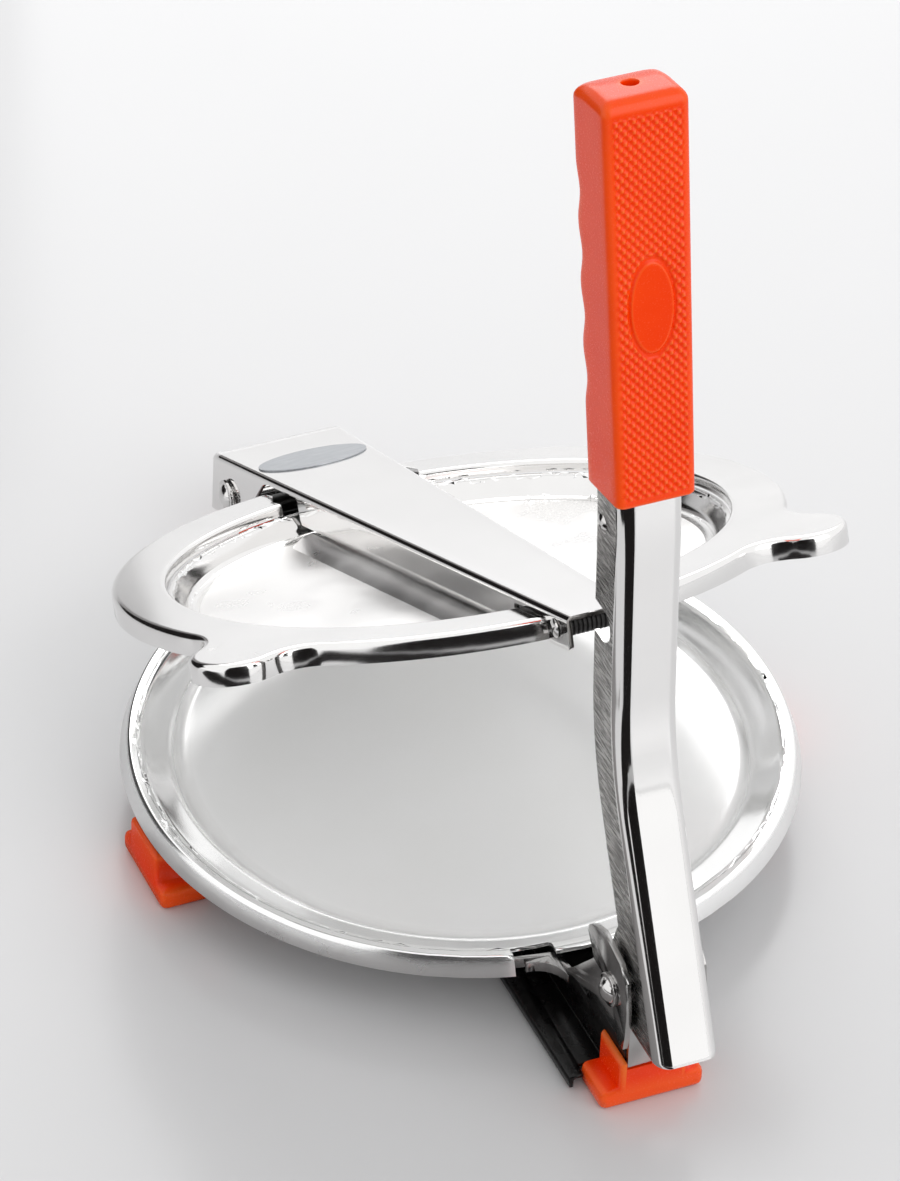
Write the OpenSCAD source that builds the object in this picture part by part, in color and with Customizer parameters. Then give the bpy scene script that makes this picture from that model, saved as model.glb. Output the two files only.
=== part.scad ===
// Hand-operated flatbread press: a rimmed base dish on a black under-frame, a press plate that
// hinges at the back under a tapered bar, and a channel lever with a moulded grip in front.
// +X is to the right, +Y runs back to the hinge and +Z is up. The table is at z = 0.
// The press plate and the bar are drawn lying closed, then turned up about the rear hinge.

/* [Base dish] */
// Outer diameter of the rim at its lower edge
dish_d = 180; // [172:1:190]
// Height of the dish floor's upper face above the table
floor_z = 17; // [16.8:0.1:20]
// Width from the edge of the flat floor to the lower edge of the rim
wall_w = 16; // [14.5:0.1:16.7]
// Height of the rim above the floor
rim_h = 5.4; // [4.8:0.1:5.6]
// Width of the rounded rim from its inner to its outer edge
rim_w = 5.8; // [5:0.1:6.6]
// Sheet thickness of the dish
dish_t = 1; // [0.8:0.1:1.2]
// Width of the gap in the rim for the lever bracket
notch_w = 44; // [42:1:50]
// Width of the piece of rim left standing inside that gap
tongue_w = 22; // [18:1:26]

/* [Under-frame] */
// Width of the raised ridge of the long frame and of the side arms
ridge_w = 15; // [14.4:0.1:15.4]
// Sheet thickness of the under-frame
frame_t = 1.2; // [1:0.1:1.5]
// Width of the long frame over its turned-down lips
brim_w = 37; // [32:0.5:40]
// Height of the brim's upper face above the table
brim_z = 4.5; // [4:0.1:5]
// Height of the ridge where it carries the lever bracket
riser_z = 25; // [24:0.1:25.2]
// Distance of the front foot's face from the dish centre
front_reach = 125; // [123:0.5:126]
// Distance of the rear foot's face from the dish centre
rear_reach = 124; // [122:0.5:128]
// Distance of each side foot's face from the dish centre
side_reach = 90; // [87:0.5:92]

/* [Feet] */
// Width of a foot over its wings
foot_w = 28.6; // [26:0.2:32]
// Thickness of a foot
foot_t = 14; // [12:0.5:15]
// Height of the wings
wing_h = 6; // [5:0.2:8]
// Width of a foot's upright block
block_w = 18.6; // [18.2:0.1:20]
// Height of a foot's upright block
block_h = 14.4; // [12:0.1:14.6]

/* [Lever bracket] */
// Distance of the lever pivot in front of the dish centre
pivot_y = 119.5; // [119:0.1:120.5]
// Height of the lever pivot above the table
pivot_z = 36.2; // [36:0.1:37.5]
// Clear width between the two ears
ear_gap = 19.2; // [19:0.1:20]
// Sheet thickness of the bracket
bracket_t = 1.5; // [1.2:0.1:1.8]
// Height of the ears above the pivot
ear_top = 14; // [12:0.5:16]
// Diameter of the pivot rivet
rivet_d = 5; // [4:0.1:6]
// Diameter of the rivet's washers
washer_d = 9; // [8:0.2:10]

/* [Rear hinge] */
// Distance of the hinge pin behind the dish centre
hinge_y = 119; // [117:0.2:120]
// Height of the hinge pin above the table
hinge_z = 21; // [20.6:0.1:22]
// Diameter of the hinge pin
pin_d = 5; // [4:0.1:6]

/* [Press plate] */
// Angle that the plate is lifted by, as shown
rest_lift = 24.8; // [20:0.1:30]
// Gap left between plate and floor when it is closed
closed_gap = 1; // [0.8:0.1:1.6]
// Outer diameter of the plate's rolled lip
plate_d = 148; // [140:0.5:148]
// Depth of the plate from the lip to its underside
plate_h = 7; // [6:0.1:7.2]
// Sheet thickness of the plate
plate_t = 1; // [0.8:0.1:1.2]

/* [Carrier ring] */
// Outer diameter of the ring
ring_d = 177; // [175:0.5:178]
// Height of the ring's upper face above the plate's underside
ring_h = 10.2; // [10:0.1:10.8]
// Depth of the ring's outer skirt
skirt_h = 5.7; // [4.5:0.1:5.8]
// Sheet thickness of the ring
ring_t = 1; // [0.8:0.1:1.2]
// Distance of a lifting ear's centre from the ring's centre
ear_reach = 96; // [92:0.5:98]
// Radius of a lifting ear's rounded end
ear_r = 11.5; // [9:0.5:13]
// How far forward of the middle line the left ear points, degrees
ear_angle = 34; // [30:0.5:40]
// The same for the right ear
ear_angle_r = 40; // [34:0.5:42]

/* [Bar] */
// Width of the bar at its rear end
bar_rear_w = 38; // [37:0.2:40]
// Width of the bar at its front end
bar_front_w = 18; // [17.6:0.1:18.4]
// Distance that the bar's front end stands out beyond the ring
bar_over = 14; // [12.5:0.5:15.5]
// Distance of the bar's rear edge behind the hinge pin
bar_tail = 8.5; // [7:0.5:10]
// Height of the bar's side flanges
bar_h = 9; // [8.6:0.1:9.4]
// Sheet thickness of the bar
bar_t = 1.2; // [1:0.1:1.4]
// Width of the bar's feet on the plate
bar_foot_w = 7; // [5:0.5:8]
// Radius of the ribbed roller
roller_r = 2.8; // [2.5:0.1:3.2]
// Length of the oval badge
badge_l = 31; // [26:0.5:34]

/* [Lever] */
// Outside width of the lever channel
lever_w = 17; // [16:0.1:17.4]
// Depth of the lever channel
lever_d = 14.5; // [12:0.5:16]
// Sheet thickness of the lever
lever_t = 1.2; // [1:0.1:1.4]
// Outside radius of the channel's corners
lever_r = 4; // [3:0.2:5]
// Backward slope of the lever's lower arm
lower_tilt = 25.4; // [24:0.2:27]
// Length of the lower arm
lower_l = 65; // [60:1:70]
// Backward slope of the middle of the lever
middle_tilt = 3.5; // [2:0.5:6]
// Length of the middle of the lever
middle_l = 44; // [40:1:50]
// Depth of the slots in the lever's edges that the roller parks in
park_depth = 9; // [6:0.5:10]

/* [Grip] */
// Length of the grip
grip_l = 107; // [95:1:115]
// Width of the grip at its top
grip_top_w = 22.4; // [21:0.2:24]
// Width of the grip at its bottom
grip_low_w = 20.8; // [20.2:0.2:22]
// Depth of the grip from front to back
grip_depth = 20; // [19:0.2:22]
// Backward slope of the grip
grip_tilt = 10.4; // [8:0.2:13]
// Number of finger waves on the back of the grip
wave_count = 5; // [3:1:5]
// Distance from one finger wave to the next
wave_pitch = 16.4; // [14:0.2:17]
// Height of the lowest finger wave above the grip's lower end
wave_from = 21; // [12:1:24]
// Depth of the finger waves
wave_depth = 1.6; // [0.8:0.1:2]

/* [Hidden] */
$fn = 64;

// sheet joints and running clearances
fit = 0.15;
run = 0.05;
side_gap = 0.2;

steel = [0.80, 0.80, 0.81];
black = [0.07, 0.07, 0.08];
orange = [0.94, 0.29, 0.12];

// heights of the stack, from the table up
ridge_z = floor_z - dish_t;
plate_z = floor_z + closed_gap;
ring_z = plate_z + ring_h;
lip_z = plate_z + plate_h;
bar_under = ring_z + 1.9;
bar_z = bar_under + bar_t;
bar_low = bar_z - bar_h;

dish_r = dish_d / 2;
floor_d = dish_d - 2 * wall_w;
crease_r = dish_r - 1.8;
lip_in_r = crease_r - rim_w * 0.68;
rim_z = floor_z + rim_h;
ring_r = ring_d / 2;
bar_front = ring_r + bar_over;
bar_rear = hinge_y + bar_tail;
bar_l = bar_rear + bar_front;
foot_wall = 1.7;

// path of the lever's front face, as [y, z, slope], from its lower end up
function ahead(p, l) = [p[0] + l * sin(p[2]), p[1] + l * cos(p[2]), p[2]];
// end of an arc of radius r that leaves p and turns to the slope a
function turned(p, r, a) = let (s = sign(p[2] - a))
    [p[0] + s * r * (cos(a) - cos(p[2])), p[1] + s * r * (sin(p[2]) - sin(a)), a];

bend_r = 85;
upper_r = 120;
foot_of_lever = [-pivot_y - 24.9, pivot_z - 7.9, lower_tilt];
end_lower = ahead(foot_of_lever, lower_l);
start_middle = turned(end_lower, bend_r, middle_tilt);
end_middle = ahead(start_middle, middle_l);
start_tang = turned(end_middle, upper_r, grip_tilt);
tang_l = grip_l * 0.72;

// lower front edge of the grip, just in front of the channel
grip_wall = 2.1;
grip_foot = [start_tang[0] - grip_wall * cos(grip_tilt), start_tang[1] + grip_wall * sin(grip_tilt)];

// the object stands with the middle of its length over the origin
lever_front = foot_of_lever[0];
tail_y = hinge_y + bar_tail * cos(rest_lift) + (bar_z - hinge_z) * sin(rest_lift);
shift_y = -(lever_front + tail_y) / 2;

function bar_half(y) = bar_rear_w / 2 - (bar_rear_w - bar_front_w) / 2 * (bar_rear - y) / bar_l;
bar_angle = atan((bar_rear_w - bar_front_w) / 2 / bar_l);

module placed() {
    translate([0, shift_y, 0]) children();
}

// turns what is drawn lying closed up about the hinge pin
module lifted() {
    placed() translate([0, hinge_y, hinge_z]) rotate([-rest_lift, 0, 0])
        translate([0, -hinge_y, -hinge_z]) children();
}

// a side outline in [y, z] drawn out across the object from x0 to x1
module across(x0, x1) {
    translate([x0, 0, 0]) rotate([90, 0, 90]) linear_extrude(x1 - x0) children();
}

module rod_x(x0, x1, r) {
    translate([x0, 0, 0]) rotate([0, 90, 0]) cylinder(r = r, h = x1 - x0);
}

module ring_x(x0, x1, ro, ri) {
    difference() {
        rod_x(x0, x1, ro);
        rod_x(x0 - 1, x1 + 1, ri);
    }
}

// ---- base dish: floor, sloping wall, rounded rim and outer band
module dish_skin(g) {
    // g is how far the outline lies inside the outer face
    polygon([[0, floor_z - g],
             [floor_d / 2, floor_z - g],
             [floor_d / 2 + 2.4, floor_z + 0.7 - g],
             [lip_in_r - 0.6, rim_z - 1 - g * 0.7],
             [lip_in_r + 0.5, rim_z - 0.2 - g],
             [(lip_in_r + crease_r) / 2, rim_z - g],
             [crease_r - 0.9, rim_z - 0.25 - g],
             [crease_r - g * 0.7, rim_z - 0.9 - g * 0.6],
             [dish_r - g, floor_z],
             [dish_r - g, 0],
             [0, 0]]);
}

module base_dish() {
    color(steel) placed() difference() {
        rotate_extrude() intersection() {
            difference() {
                dish_skin(0);
                dish_skin(dish_t);
            }
            union() {
                square([dish_r + 1, 100]);
                translate([0, -1]) square([1, 1]);
            }
        }
        // nothing hangs below the floor or below the band
        translate([0, 0, -50]) cylinder(r = dish_r + 5, h = 50 + floor_z - dish_t);
        difference() {
            translate([0, 0, -1]) cylinder(r = dish_r + 5, h = floor_z + 1);
            translate([0, 0, -2]) cylinder(r = floor_d / 2 + 3, h = floor_z + 10);
        }
        for (s = [-1, 1])
            translate([s * (notch_w + tongue_w) / 4 - (notch_w - tongue_w) / 4, -dish_r - 5, -1])
                cube([(notch_w - tongue_w) / 2, dish_r + 5 - lip_in_r + 2, 60]);
        // the band is cut off below the piece that is left standing
        intersection() {
            translate([-notch_w / 2, -dish_r - 5, 0]) cube([notch_w, 20, 60]);
            difference() {
                translate([0, 0, -1]) cylinder(r = dish_r + 5, h = rim_z - 0.8);
                translate([0, 0, -2]) cylinder(r = crease_r - dish_t - 0.6, h = 60);
            }
        }
    }
}

// ---- under-frame
module hat_half(y0, y1) {
    h = ridge_w / 2;
    b = brim_w / 2;
    translate([h - frame_t, y0, brim_z - frame_t]) cube([b - h + frame_t, y1 - y0, frame_t]);
    translate([b - frame_t, y0, 0.8]) cube([frame_t, y1 - y0, brim_z - 0.8]);
}

module long_frame() {
    h = ridge_w / 2;
    y_front = -front_reach + foot_wall;
    y_rear = rear_reach - foot_wall;
    y_step = -front_reach + 17;
    y_brim = -front_reach + foot_t + 0.3;
    color(black) placed() {
        difference() {
            across(-h, h) polygon([[y_front, brim_z], [y_front, riser_z], [y_step, riser_z],
                                   [y_step + 9, ridge_z], [y_rear, ridge_z], [y_rear, brim_z]]);
            across(-h + frame_t, h - frame_t)
                polygon([[y_front - 1, brim_z - 1], [y_front - 1, riser_z - frame_t],
                         [y_step - 0.6, riser_z - frame_t], [y_step + 8.4, ridge_z - frame_t],
                         [y_rear + 1, ridge_z - frame_t], [y_rear + 1, brim_z - 1]]);
        }
        for (s = [0, 1]) mirror([s, 0, 0]) {
            hat_half(y_brim, hinge_y - 20);
            translate([foot_w / 2 + 0.3, y_brim - 4, brim_z - frame_t])
                cube([(brim_w - foot_w) / 2 - 0.3, 4, frame_t]);
            translate([brim_w / 2 - frame_t, y_brim - 4, 0.8])
                cube([frame_t, 4, brim_z - 0.8]);
        }
    }
}

module arm() {
    h = ridge_w / 2;
    x1 = side_reach - foot_wall;
    translate([h, -h, ridge_z - frame_t]) cube([x1 - h, ridge_w, frame_t]);
    for (s = [0, 1]) mirror([0, s, 0])
        translate([h, h - frame_t, brim_z]) cube([x1 - h, frame_t, ridge_z - brim_z]);
}

module left_arm() {
    color(black) placed() mirror([1, 0, 0]) arm();
}

module right_arm() {
    color(black) placed() arm();
}

// ---- feet: an inverted T that the end of the frame slides into, face towards -Y
module foot_body() {
    h = ridge_w / 2;
    difference() {
        union() {
            translate([-foot_w / 2, 0, 0]) cube([foot_w, foot_t, wing_h]);
            translate([-block_w / 2, 0, 0]) cube([block_w, foot_t, block_h]);
        }
        for (s = [0, 1]) mirror([s, 0, 0])
            translate([h - frame_t - fit, foot_wall - 0.1, brim_z])
                cube([frame_t + 2 * fit, foot_t, block_h]);
    }
}

module front_foot() {
    color(orange) placed() difference() {
        translate([0, -front_reach, 0]) foot_body();
        // recess for the bracket's front lip
        translate([-ridge_w / 2 - 0.2, -front_reach - 1, block_h - 2])
            cube([ridge_w + 0.4, foot_wall + 1, 10]);
    }
}

module rear_foot() {
    color(orange) placed() translate([0, rear_reach, 0]) rotate([0, 0, 180]) foot_body();
}

module left_foot() {
    color(orange) placed() translate([-side_reach, 0, 0]) rotate([0, 0, -90]) foot_body();
}

module right_foot() {
    color(orange) placed() translate([side_reach, 0, 0]) rotate([0, 0, 90]) foot_body();
}

// ---- lever bracket: two ears on a base, with wings under the dish rim
ear_in = ear_gap / 2;
ear_out = ear_in + bracket_t;
wing_r = crease_r - dish_t - 0.1;
wing_low = floor_z + 0.3;
wing_top = rim_z - 1.5 - dish_t * 0.6;
base_front = -front_reach + 0.3;
base_back = -front_reach + 17;

module ear_outline() {
    p = -pivot_y;
    z = pivot_z;
    // rear end of the ears, at the wings
    e = -wing_r - 0.9;
    difference() {
        polygon([[e, wing_low], [e, wing_top], [e - 5.5, wing_top + 1.2],
                 [e - 10.5, riser_z + 1.3], [p + 10.5, z + 1.8], [p + 11.8, z + 4],
                 [p + 14.6, z + 7.6], [p + 14.2, z + 10], [p + 11.6, z + ear_top - 2],
                 [p + 6.2, z + ear_top], [p + 0.6, z + ear_top - 1], [p - 4.4, z + ear_top - 2.2],
                 [p - 8.2, z + 8], [p - 9.8, z], [p - 9.6, z - 8], [p - 9, riser_z - 1.6],
                 [p - 7.4, riser_z - 2], [p - 5.2, riser_z], [p + 11, riser_z],
                 [e - 11.5, riser_z - 2.3], [e - 5.5, riser_z - 5.2]]);
        translate([p, z]) circle(d = rivet_d + 2 * run);
    }
}

module wing(s) {
    // strip that follows the rim on the inside, joined to the ear by a rounded corner
    a0 = asin((ear_out - 0.2) / wing_r);
    a1 = asin((notch_w / 2 + 6) / wing_r);
    mirror([s, 0, 0]) translate([0, 0, wing_low]) linear_extrude(wing_top - wing_low)
        union() {
            polygon(concat(
                [for (i = [0:12]) let (a = a0 + (a1 - a0) * i / 12)
                    [wing_r * sin(a), -wing_r * cos(a)]],
                [for (i = [12:-1:0]) let (a = a0 + (a1 - a0) * i / 12)
                    [(wing_r - frame_t) * sin(a), -(wing_r - frame_t) * cos(a)]]));
            difference() {
                translate([ear_out - 0.2, -wing_r - 8]) square([8.2, 8.9]);
                translate([ear_out + 8, -wing_r - 8]) circle(r = 8);
            }
        }
}

module pivot_bracket() {
    color(steel) placed() {
        across(ear_in, ear_out) ear_outline();
        across(-ear_out, -ear_in) ear_outline();
        translate([-ear_in, base_front, riser_z])
            cube([ear_gap, base_back - base_front, bracket_t]);
        translate([-ridge_w / 2, base_front, block_h - 1.5])
            cube([ridge_w, foot_wall - 0.5, riser_z - block_h + 2]);
        wing(0);
        wing(1);
    }
}

module dome(r, h) {
    // low dome with its flat face at x = 0, towards +X
    k = (r * r + h * h) / (2 * h);
    rotate([0, 90, 0]) rotate_extrude() intersection() {
        translate([0, h - k]) circle(r = k);
        square([r, h]);
    }
}

module rivet(half, r, head_r, head_h) {
    rod_x(-half, half, r);
    translate([half, 0, 0]) dome(head_r, head_h);
    mirror([1, 0, 0]) translate([half, 0, 0]) dome(head_r, head_h);
}

module at_pivot() {
    placed() translate([0, -pivot_y, pivot_z]) children();
}

washer_t = 0.9;

module pivot_rivet() {
    color(steel) at_pivot() rivet(ear_out + washer_t, rivet_d / 2, rivet_d / 2 + 1, 1.9);
}

module pivot_washers() {
    color(steel) at_pivot() for (s = [0, 1]) mirror([s, 0, 0])
        ring_x(ear_out, ear_out + washer_t, washer_d / 2, rivet_d / 2 + run);
}

// ---- rear hinge
lug_out = bar_half(hinge_y) - bar_t - 0.4;
hinge_t = 1.5;
hinge_l = 16;

module hinge_bracket() {
    color(black) placed() {
        translate([-lug_out, hinge_y - hinge_l / 2, ridge_z])
            cube([2 * lug_out, hinge_l, hinge_t]);
        for (s = [0, 1]) mirror([s, 0, 0]) across(lug_out - hinge_t, lug_out) difference() {
            union() {
                translate([hinge_y - hinge_l / 2, ridge_z]) square([hinge_l, hinge_z - ridge_z]);
                translate([hinge_y, hinge_z]) circle(r = hinge_l / 2);
            }
            translate([hinge_y - 20, ridge_z - 20]) square([40, 20]);
            translate([hinge_y, hinge_z]) circle(d = pin_d + 2 * run);
        }
    }
}

cheek_out = bar_half(hinge_y);

module hinge_pin() {
    color(steel) placed() translate([0, hinge_y, hinge_z])
        rivet(cheek_out + 0.4 + washer_t, pin_d / 2, pin_d / 2 + 1, 1.6);
}

module hinge_washers() {
    color(steel) placed() translate([0, hinge_y, hinge_z]) for (s = [0, 1]) mirror([s, 0, 0])
        ring_x(cheek_out + 0.4, cheek_out + 0.4 + washer_t, washer_d / 2, pin_d / 2 + run);
}

// ---- press plate
module plate_line(g) {
    r = plate_d / 2;
    polygon([[0, plate_z + g], [r - 5.5, plate_z + g], [r - 3.6 - g * 0.4, plate_z + 0.9 + g],
             [r - 1 - g, lip_z - 1.4], [r - 1 - g, lip_z + 1], [0, lip_z + 1]]);
}

module press_plate() {
    color(steel) lifted() union() {
        rotate_extrude() intersection() {
            difference() {
                plate_line(0);
                plate_line(plate_t);
            }
            square([plate_d, lip_z]);
        }
        // rolled lip
        difference() {
            translate([0, 0, lip_z - 1]) cylinder(r = plate_d / 2, h = 1);
            translate([0, 0, lip_z - 2]) cylinder(r = plate_d / 2 - 1 - plate_t * 0.5, h = 4);
        }
    }
}

// ---- carrier ring with two lifting ears
module ring_outline(g) {
    // plan of the ring and its ears, g inside the outer edge
    fr = 12 + g;
    r1 = ring_r - g;
    r2 = ear_r - g;
    // centre of the round that joins ring and ear, from the sides of the triangle
    d1 = r1 + fr - 0.06;
    d2 = r2 + fr - 0.06;
    c = (d1 * d1 + ear_reach * ear_reach - d2 * d2) / (2 * d1 * ear_reach);
    fa = acos(c);
    circle(r = r1, $fn = 128);
    for (s = [0, 1]) mirror([s, 0]) rotate(s == 0 ? -ear_angle_r : -ear_angle) {
        translate([ear_reach, 0]) circle(r = r2);
        difference() {
            polygon([[r1 * 0.5, 0], [d1 * cos(fa), -d1 * sin(fa)], [ear_reach, 0],
                     [d1 * cos(fa), d1 * sin(fa)]]);
            for (k = [-1, 1]) translate([d1 * cos(fa), k * d1 * sin(fa)]) circle(r = fr);
        }
    }
}

rear_slot = bar_half(ring_r) + 2.4;

module carrier_ring() {
    ri = plate_d / 2;
    low = ring_z - skirt_h;
    color(steel) lifted() difference() {
        translate([0, 0, low]) linear_extrude(skirt_h) ring_outline(0);
        // hollow underneath, with the inner wall left standing in its upper part
        translate([0, 0, low - 1]) linear_extrude(lip_z - low) ring_outline(ring_t);
        translate([0, 0, low - 1]) linear_extrude(skirt_h - ring_t + 1) difference() {
            ring_outline(ring_t);
            circle(r = ri + ring_t);
        }
        translate([0, 0, plate_z]) cylinder(r = ri, h = ring_h + 10);
        // the ring stops short of the bar at the back
        translate([-rear_slot, 50, plate_z - 5]) cube([2 * rear_slot, 60, 30]);
    }
}

module ring_spacer() {
    y = -(plate_d / 2 + ring_r) / 2;
    w = bar_half(y) - bar_t - 1;
    color(steel) lifted() translate([-w, y - 4.5, ring_z]) cube([2 * w, 9, bar_under - ring_z]);
}

// ---- bar over the plate
slot_a = plate_d / 2 - 3.6;
slot_b = ring_r + 1.6;

module bar_side() {
    // one side flange in its own plane: [distance from the plate's centre, height]
    polygon([[-bar_front, bar_low], [-bar_front, bar_z], [bar_rear, bar_z],
             [bar_rear + 6.5, hinge_z - 6.2], [bar_rear - 1, hinge_z - 6.5],
             [slot_b + 14, hinge_z - 1], [slot_b + 7, bar_z - 5.5],
             [slot_b + 2, bar_z - 2.2], [slot_b, bar_under - 0.1],
             [slot_a - 1.2, bar_under - 0.1], [slot_a - 2.2, bar_under - 1.2],
             [slot_a - 2.2, bar_low], [-slot_a - 0.4, bar_low],
             [-slot_a - 0.4, ring_z + 0.6], [-slot_b - 0.2, ring_z + 0.6],
             [-slot_b - 0.2, bar_low]]);
}

module on_flange() {
    // local +Y runs along the right-hand flange, from the front end, with its face at x = 0
    translate([bar_front_w / 2, -bar_front, 0]) rotate([0, 0, -bar_angle]) children();
}

module bar_foot() {
    // rolled foot along one flange: it lies on the plate, rounded on top and at both ends
    z0 = plate_z + plate_t;
    w = bar_foot_w;
    h = 2.6;
    r = (w * w + h * h) / (2 * h);
    l = foot_rear + foot_front;
    intersection() {
        translate([0, 0, z0 + h - r]) rotate([-90, 0, 0]) cylinder(r = r, h = l, $fn = 256);
        translate([0, 0, z0]) linear_extrude(h) {
            translate([-bar_t, 0]) square([w + bar_t - 5, l]);
            translate([0, 5]) square([w, l - 10]);
            for (y = [5, l - 5]) translate([w - 5, y]) circle(r = 5);
        }
    }
}

foot_rear = 63;
foot_front = 64;

module bridge_bar() {
    h1 = bar_rear_w / 2;
    h0 = bar_front_w / 2;
    color(steel) lifted() {
        difference() {
            union() {
                translate([0, 0, bar_under]) linear_extrude(bar_t)
                    polygon([[-h0, -bar_front], [h0, -bar_front], [h1, bar_rear], [-h1, bar_rear]]);
                for (s = [0, 1]) mirror([s, 0, 0]) intersection() {
                    translate([0, 0, 0]) linear_extrude(bar_z) polygon([
                        [h0, -bar_front], [bar_half(bar_rear + 10), bar_rear + 10],
                        [bar_half(bar_rear + 10) - bar_t, bar_rear + 10], [h0 - bar_t, -bar_front]]);
                    across(0, bar_rear_w) bar_side();
                }
            }
            translate([-50, hinge_y, hinge_z]) rod_x(0, 100, pin_d / 2 + run);
            translate([-50, -bar_front + axle_back, axle_z]) rod_x(0, 100, axle_r);
        }
        // the flanges reach down to their feet
        for (s = [0, 1]) mirror([s, 0, 0]) on_flange() translate([0, bar_front - foot_front, 0]) {
            bar_foot();
            translate([-bar_t, 0, plate_z + plate_t])
                cube([bar_t, foot_rear + foot_front, bar_low - plate_z - plate_t + 0.5]);
        }
    }
}

axle_r = 1.5;
axle_back = 7.5;
axle_z = bar_under - roller_r - 0.3;

module roller_axle() {
    half = bar_half(-bar_front + axle_back);
    color(steel) lifted() translate([0, -bar_front + axle_back, axle_z])
        rivet(half + 0.2, axle_r, 2.6, 0.8);
}

module roller() {
    half = bar_half(-bar_front + axle_back) - bar_t - side_gap;
    ribs = 13;
    pitch = 2 * half / ribs;
    color(black) lifted() translate([0, -bar_front + axle_back, axle_z]) difference() {
        union() {
            rod_x(-half, half, roller_r - 0.35);
            for (i = [0:ribs - 1])
                rod_x(-half + (i + 0.2) * pitch, -half + (i + 0.8) * pitch, roller_r);
        }
        rod_x(-half - 1, half + 1, axle_r + run);
    }
}

module badge() {
    w = badge_l / 2;
    color(steel) lifted() translate([0, hinge_y - 20, bar_z]) linear_extrude(0.4)
        polygon([for (i = [0:47]) [w * cos(i * 7.5), w * 0.6 * sin(i * 7.5)]]);
}

// ---- lever channel: a U section with rounded corners, straight and bent in turn
// section in [x, distance behind the front face], g thicker all round
module channel_section(g) {
    difference() {
        rounded_u(lever_w / 2 + g, -g, lever_r + g, lever_d + g);
        rounded_u(lever_w / 2 - lever_t - g, lever_t + g, lever_r - lever_t - g, lever_d + 1);
    }
}

module rounded_u(h, front, r, rear) {
    translate([-h, front + r]) square([2 * h, rear - front - r]);
    translate([-h + r, front]) square([2 * (h - r), 2 * r]);
    for (s = [-1, 1]) translate([s * (h - r), front + r]) circle(r = r);
}

// straight length from p, that reaches a little into the bends at its ends
module straight_run(p, l, before, after) {
    q = ahead(p, -before);
    translate([0, q[0], q[1]]) rotate([-p[2], 0, 0]) linear_extrude(l + before + after)
        channel_section(0);
}

// bend from p to the slope a, about a centre in front of the lever or behind it
module bent_run(p, r, a) {
    s = sign(p[2] - a);
    turn = abs(p[2] - a);
    translate([0, p[0] - s * r * cos(p[2]), p[1] + s * r * sin(p[2])]) rotate([90, 0, 90])
        rotate([0, 0, s > 0 ? -p[2] : 180 - a]) rotate_extrude(angle = turn, $fn = 360)
            translate([r, 0]) rotate(-90 * s) channel_section(skin);
}

// seams are kept this far from lying face on face
skin = 0.02;
lap = 0.6;

lobe_r = pivot_z - riser_z - bracket_t - 0.5;
lobe_top = 17;
park_z = pivot_z + 99.4;
park_r = 4.6;
lower_cut = foot_of_lever[1];

// free edge of the lower arm at height z
function free_edge(z) = foot_of_lever[0] + lever_d / cos(lower_tilt)
    + (z - foot_of_lever[1]) * tan(lower_tilt);

module lever_lobe() {
    // side outline of the widened flange round the pivot
    translate([-pivot_y, pivot_z]) circle(r = lobe_r);
    polygon([[-pivot_y - 7, pivot_z], [-pivot_y + lobe_r * cos(8), pivot_z + lobe_r * sin(8)],
             [free_edge(pivot_z + lobe_top) + 0.6, pivot_z + lobe_top],
             [free_edge(pivot_z + 40) + 0.6, pivot_z + 40], [-pivot_y - 7, pivot_z + 40]]);
}

module lever_channel() {
    h = lever_w / 2;
    hole_r = rivet_d / 2 + bush_t;
    edge_y = end_middle[0] + lever_d;
    color(steel) placed() difference() {
        union() {
            straight_run(foot_of_lever, lower_l, 0, lap);
            bent_run(end_lower, bend_r, middle_tilt);
            straight_run(start_middle, middle_l, lap, lap);
            bent_run(end_middle, upper_r, grip_tilt);
            straight_run(start_tang, tang_l, lap, 0);
            for (s = [0, 1]) mirror([s, 0, 0]) across(h - lever_t + skin, h - skin)
                translate([-pivot_y - 8, pivot_z - lobe_r - 3])
                    square([lobe_r + 14, lobe_r + 3 + lobe_top]);
        }
        translate([0, -pivot_y, pivot_z]) rod_x(-50, 50, hole_r);
        // what lies below the level cut in front, and outside the lobes behind
        across(-50, 50) difference() {
            union() {
                translate([-pivot_y - 60, pivot_z - 40]) square([70, lower_cut - pivot_z + 40]);
                translate([-pivot_y - 5, pivot_z - 40]) square([45, 66]);
            }
            lever_lobe();
        }
        // slots in the free edges
        across(-50, 50) translate([edge_y - 1.6, park_z]) {
            translate([park_r - park_depth, 0]) circle(r = park_r);
            translate([park_r - park_depth, -park_r]) square([40, 2 * park_r]);
        }
        translate([0, tie_y, tie_z]) rod_x(-50, 50, tie_r + run);
    }
}

bush_t = 1;

module pivot_bush() {
    h = lever_w / 2;
    color(steel) at_pivot() ring_x(-h, h, rivet_d / 2 + bush_t, rivet_d / 2 + run);
}

module lever_washers() {
    color(steel) at_pivot() for (s = [0, 1]) mirror([s, 0, 0])
        ring_x(lever_w / 2, ear_in - side_gap, washer_d / 2, rivet_d / 2 + run);
}

// rivet across the channel just below the grip
tie_r = 1.6;
tie_y = end_middle[0] + lever_d - 2.8;
tie_z = end_middle[1] + 2.2;

module tie_rivet() {
    // its heads sit on the bend, whose faces stand out by the skin
    color(steel) placed() translate([0, tie_y, tie_z])
        rivet(lever_w / 2 + skin, tie_r, tie_r + 1.1, 1);
}

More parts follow.
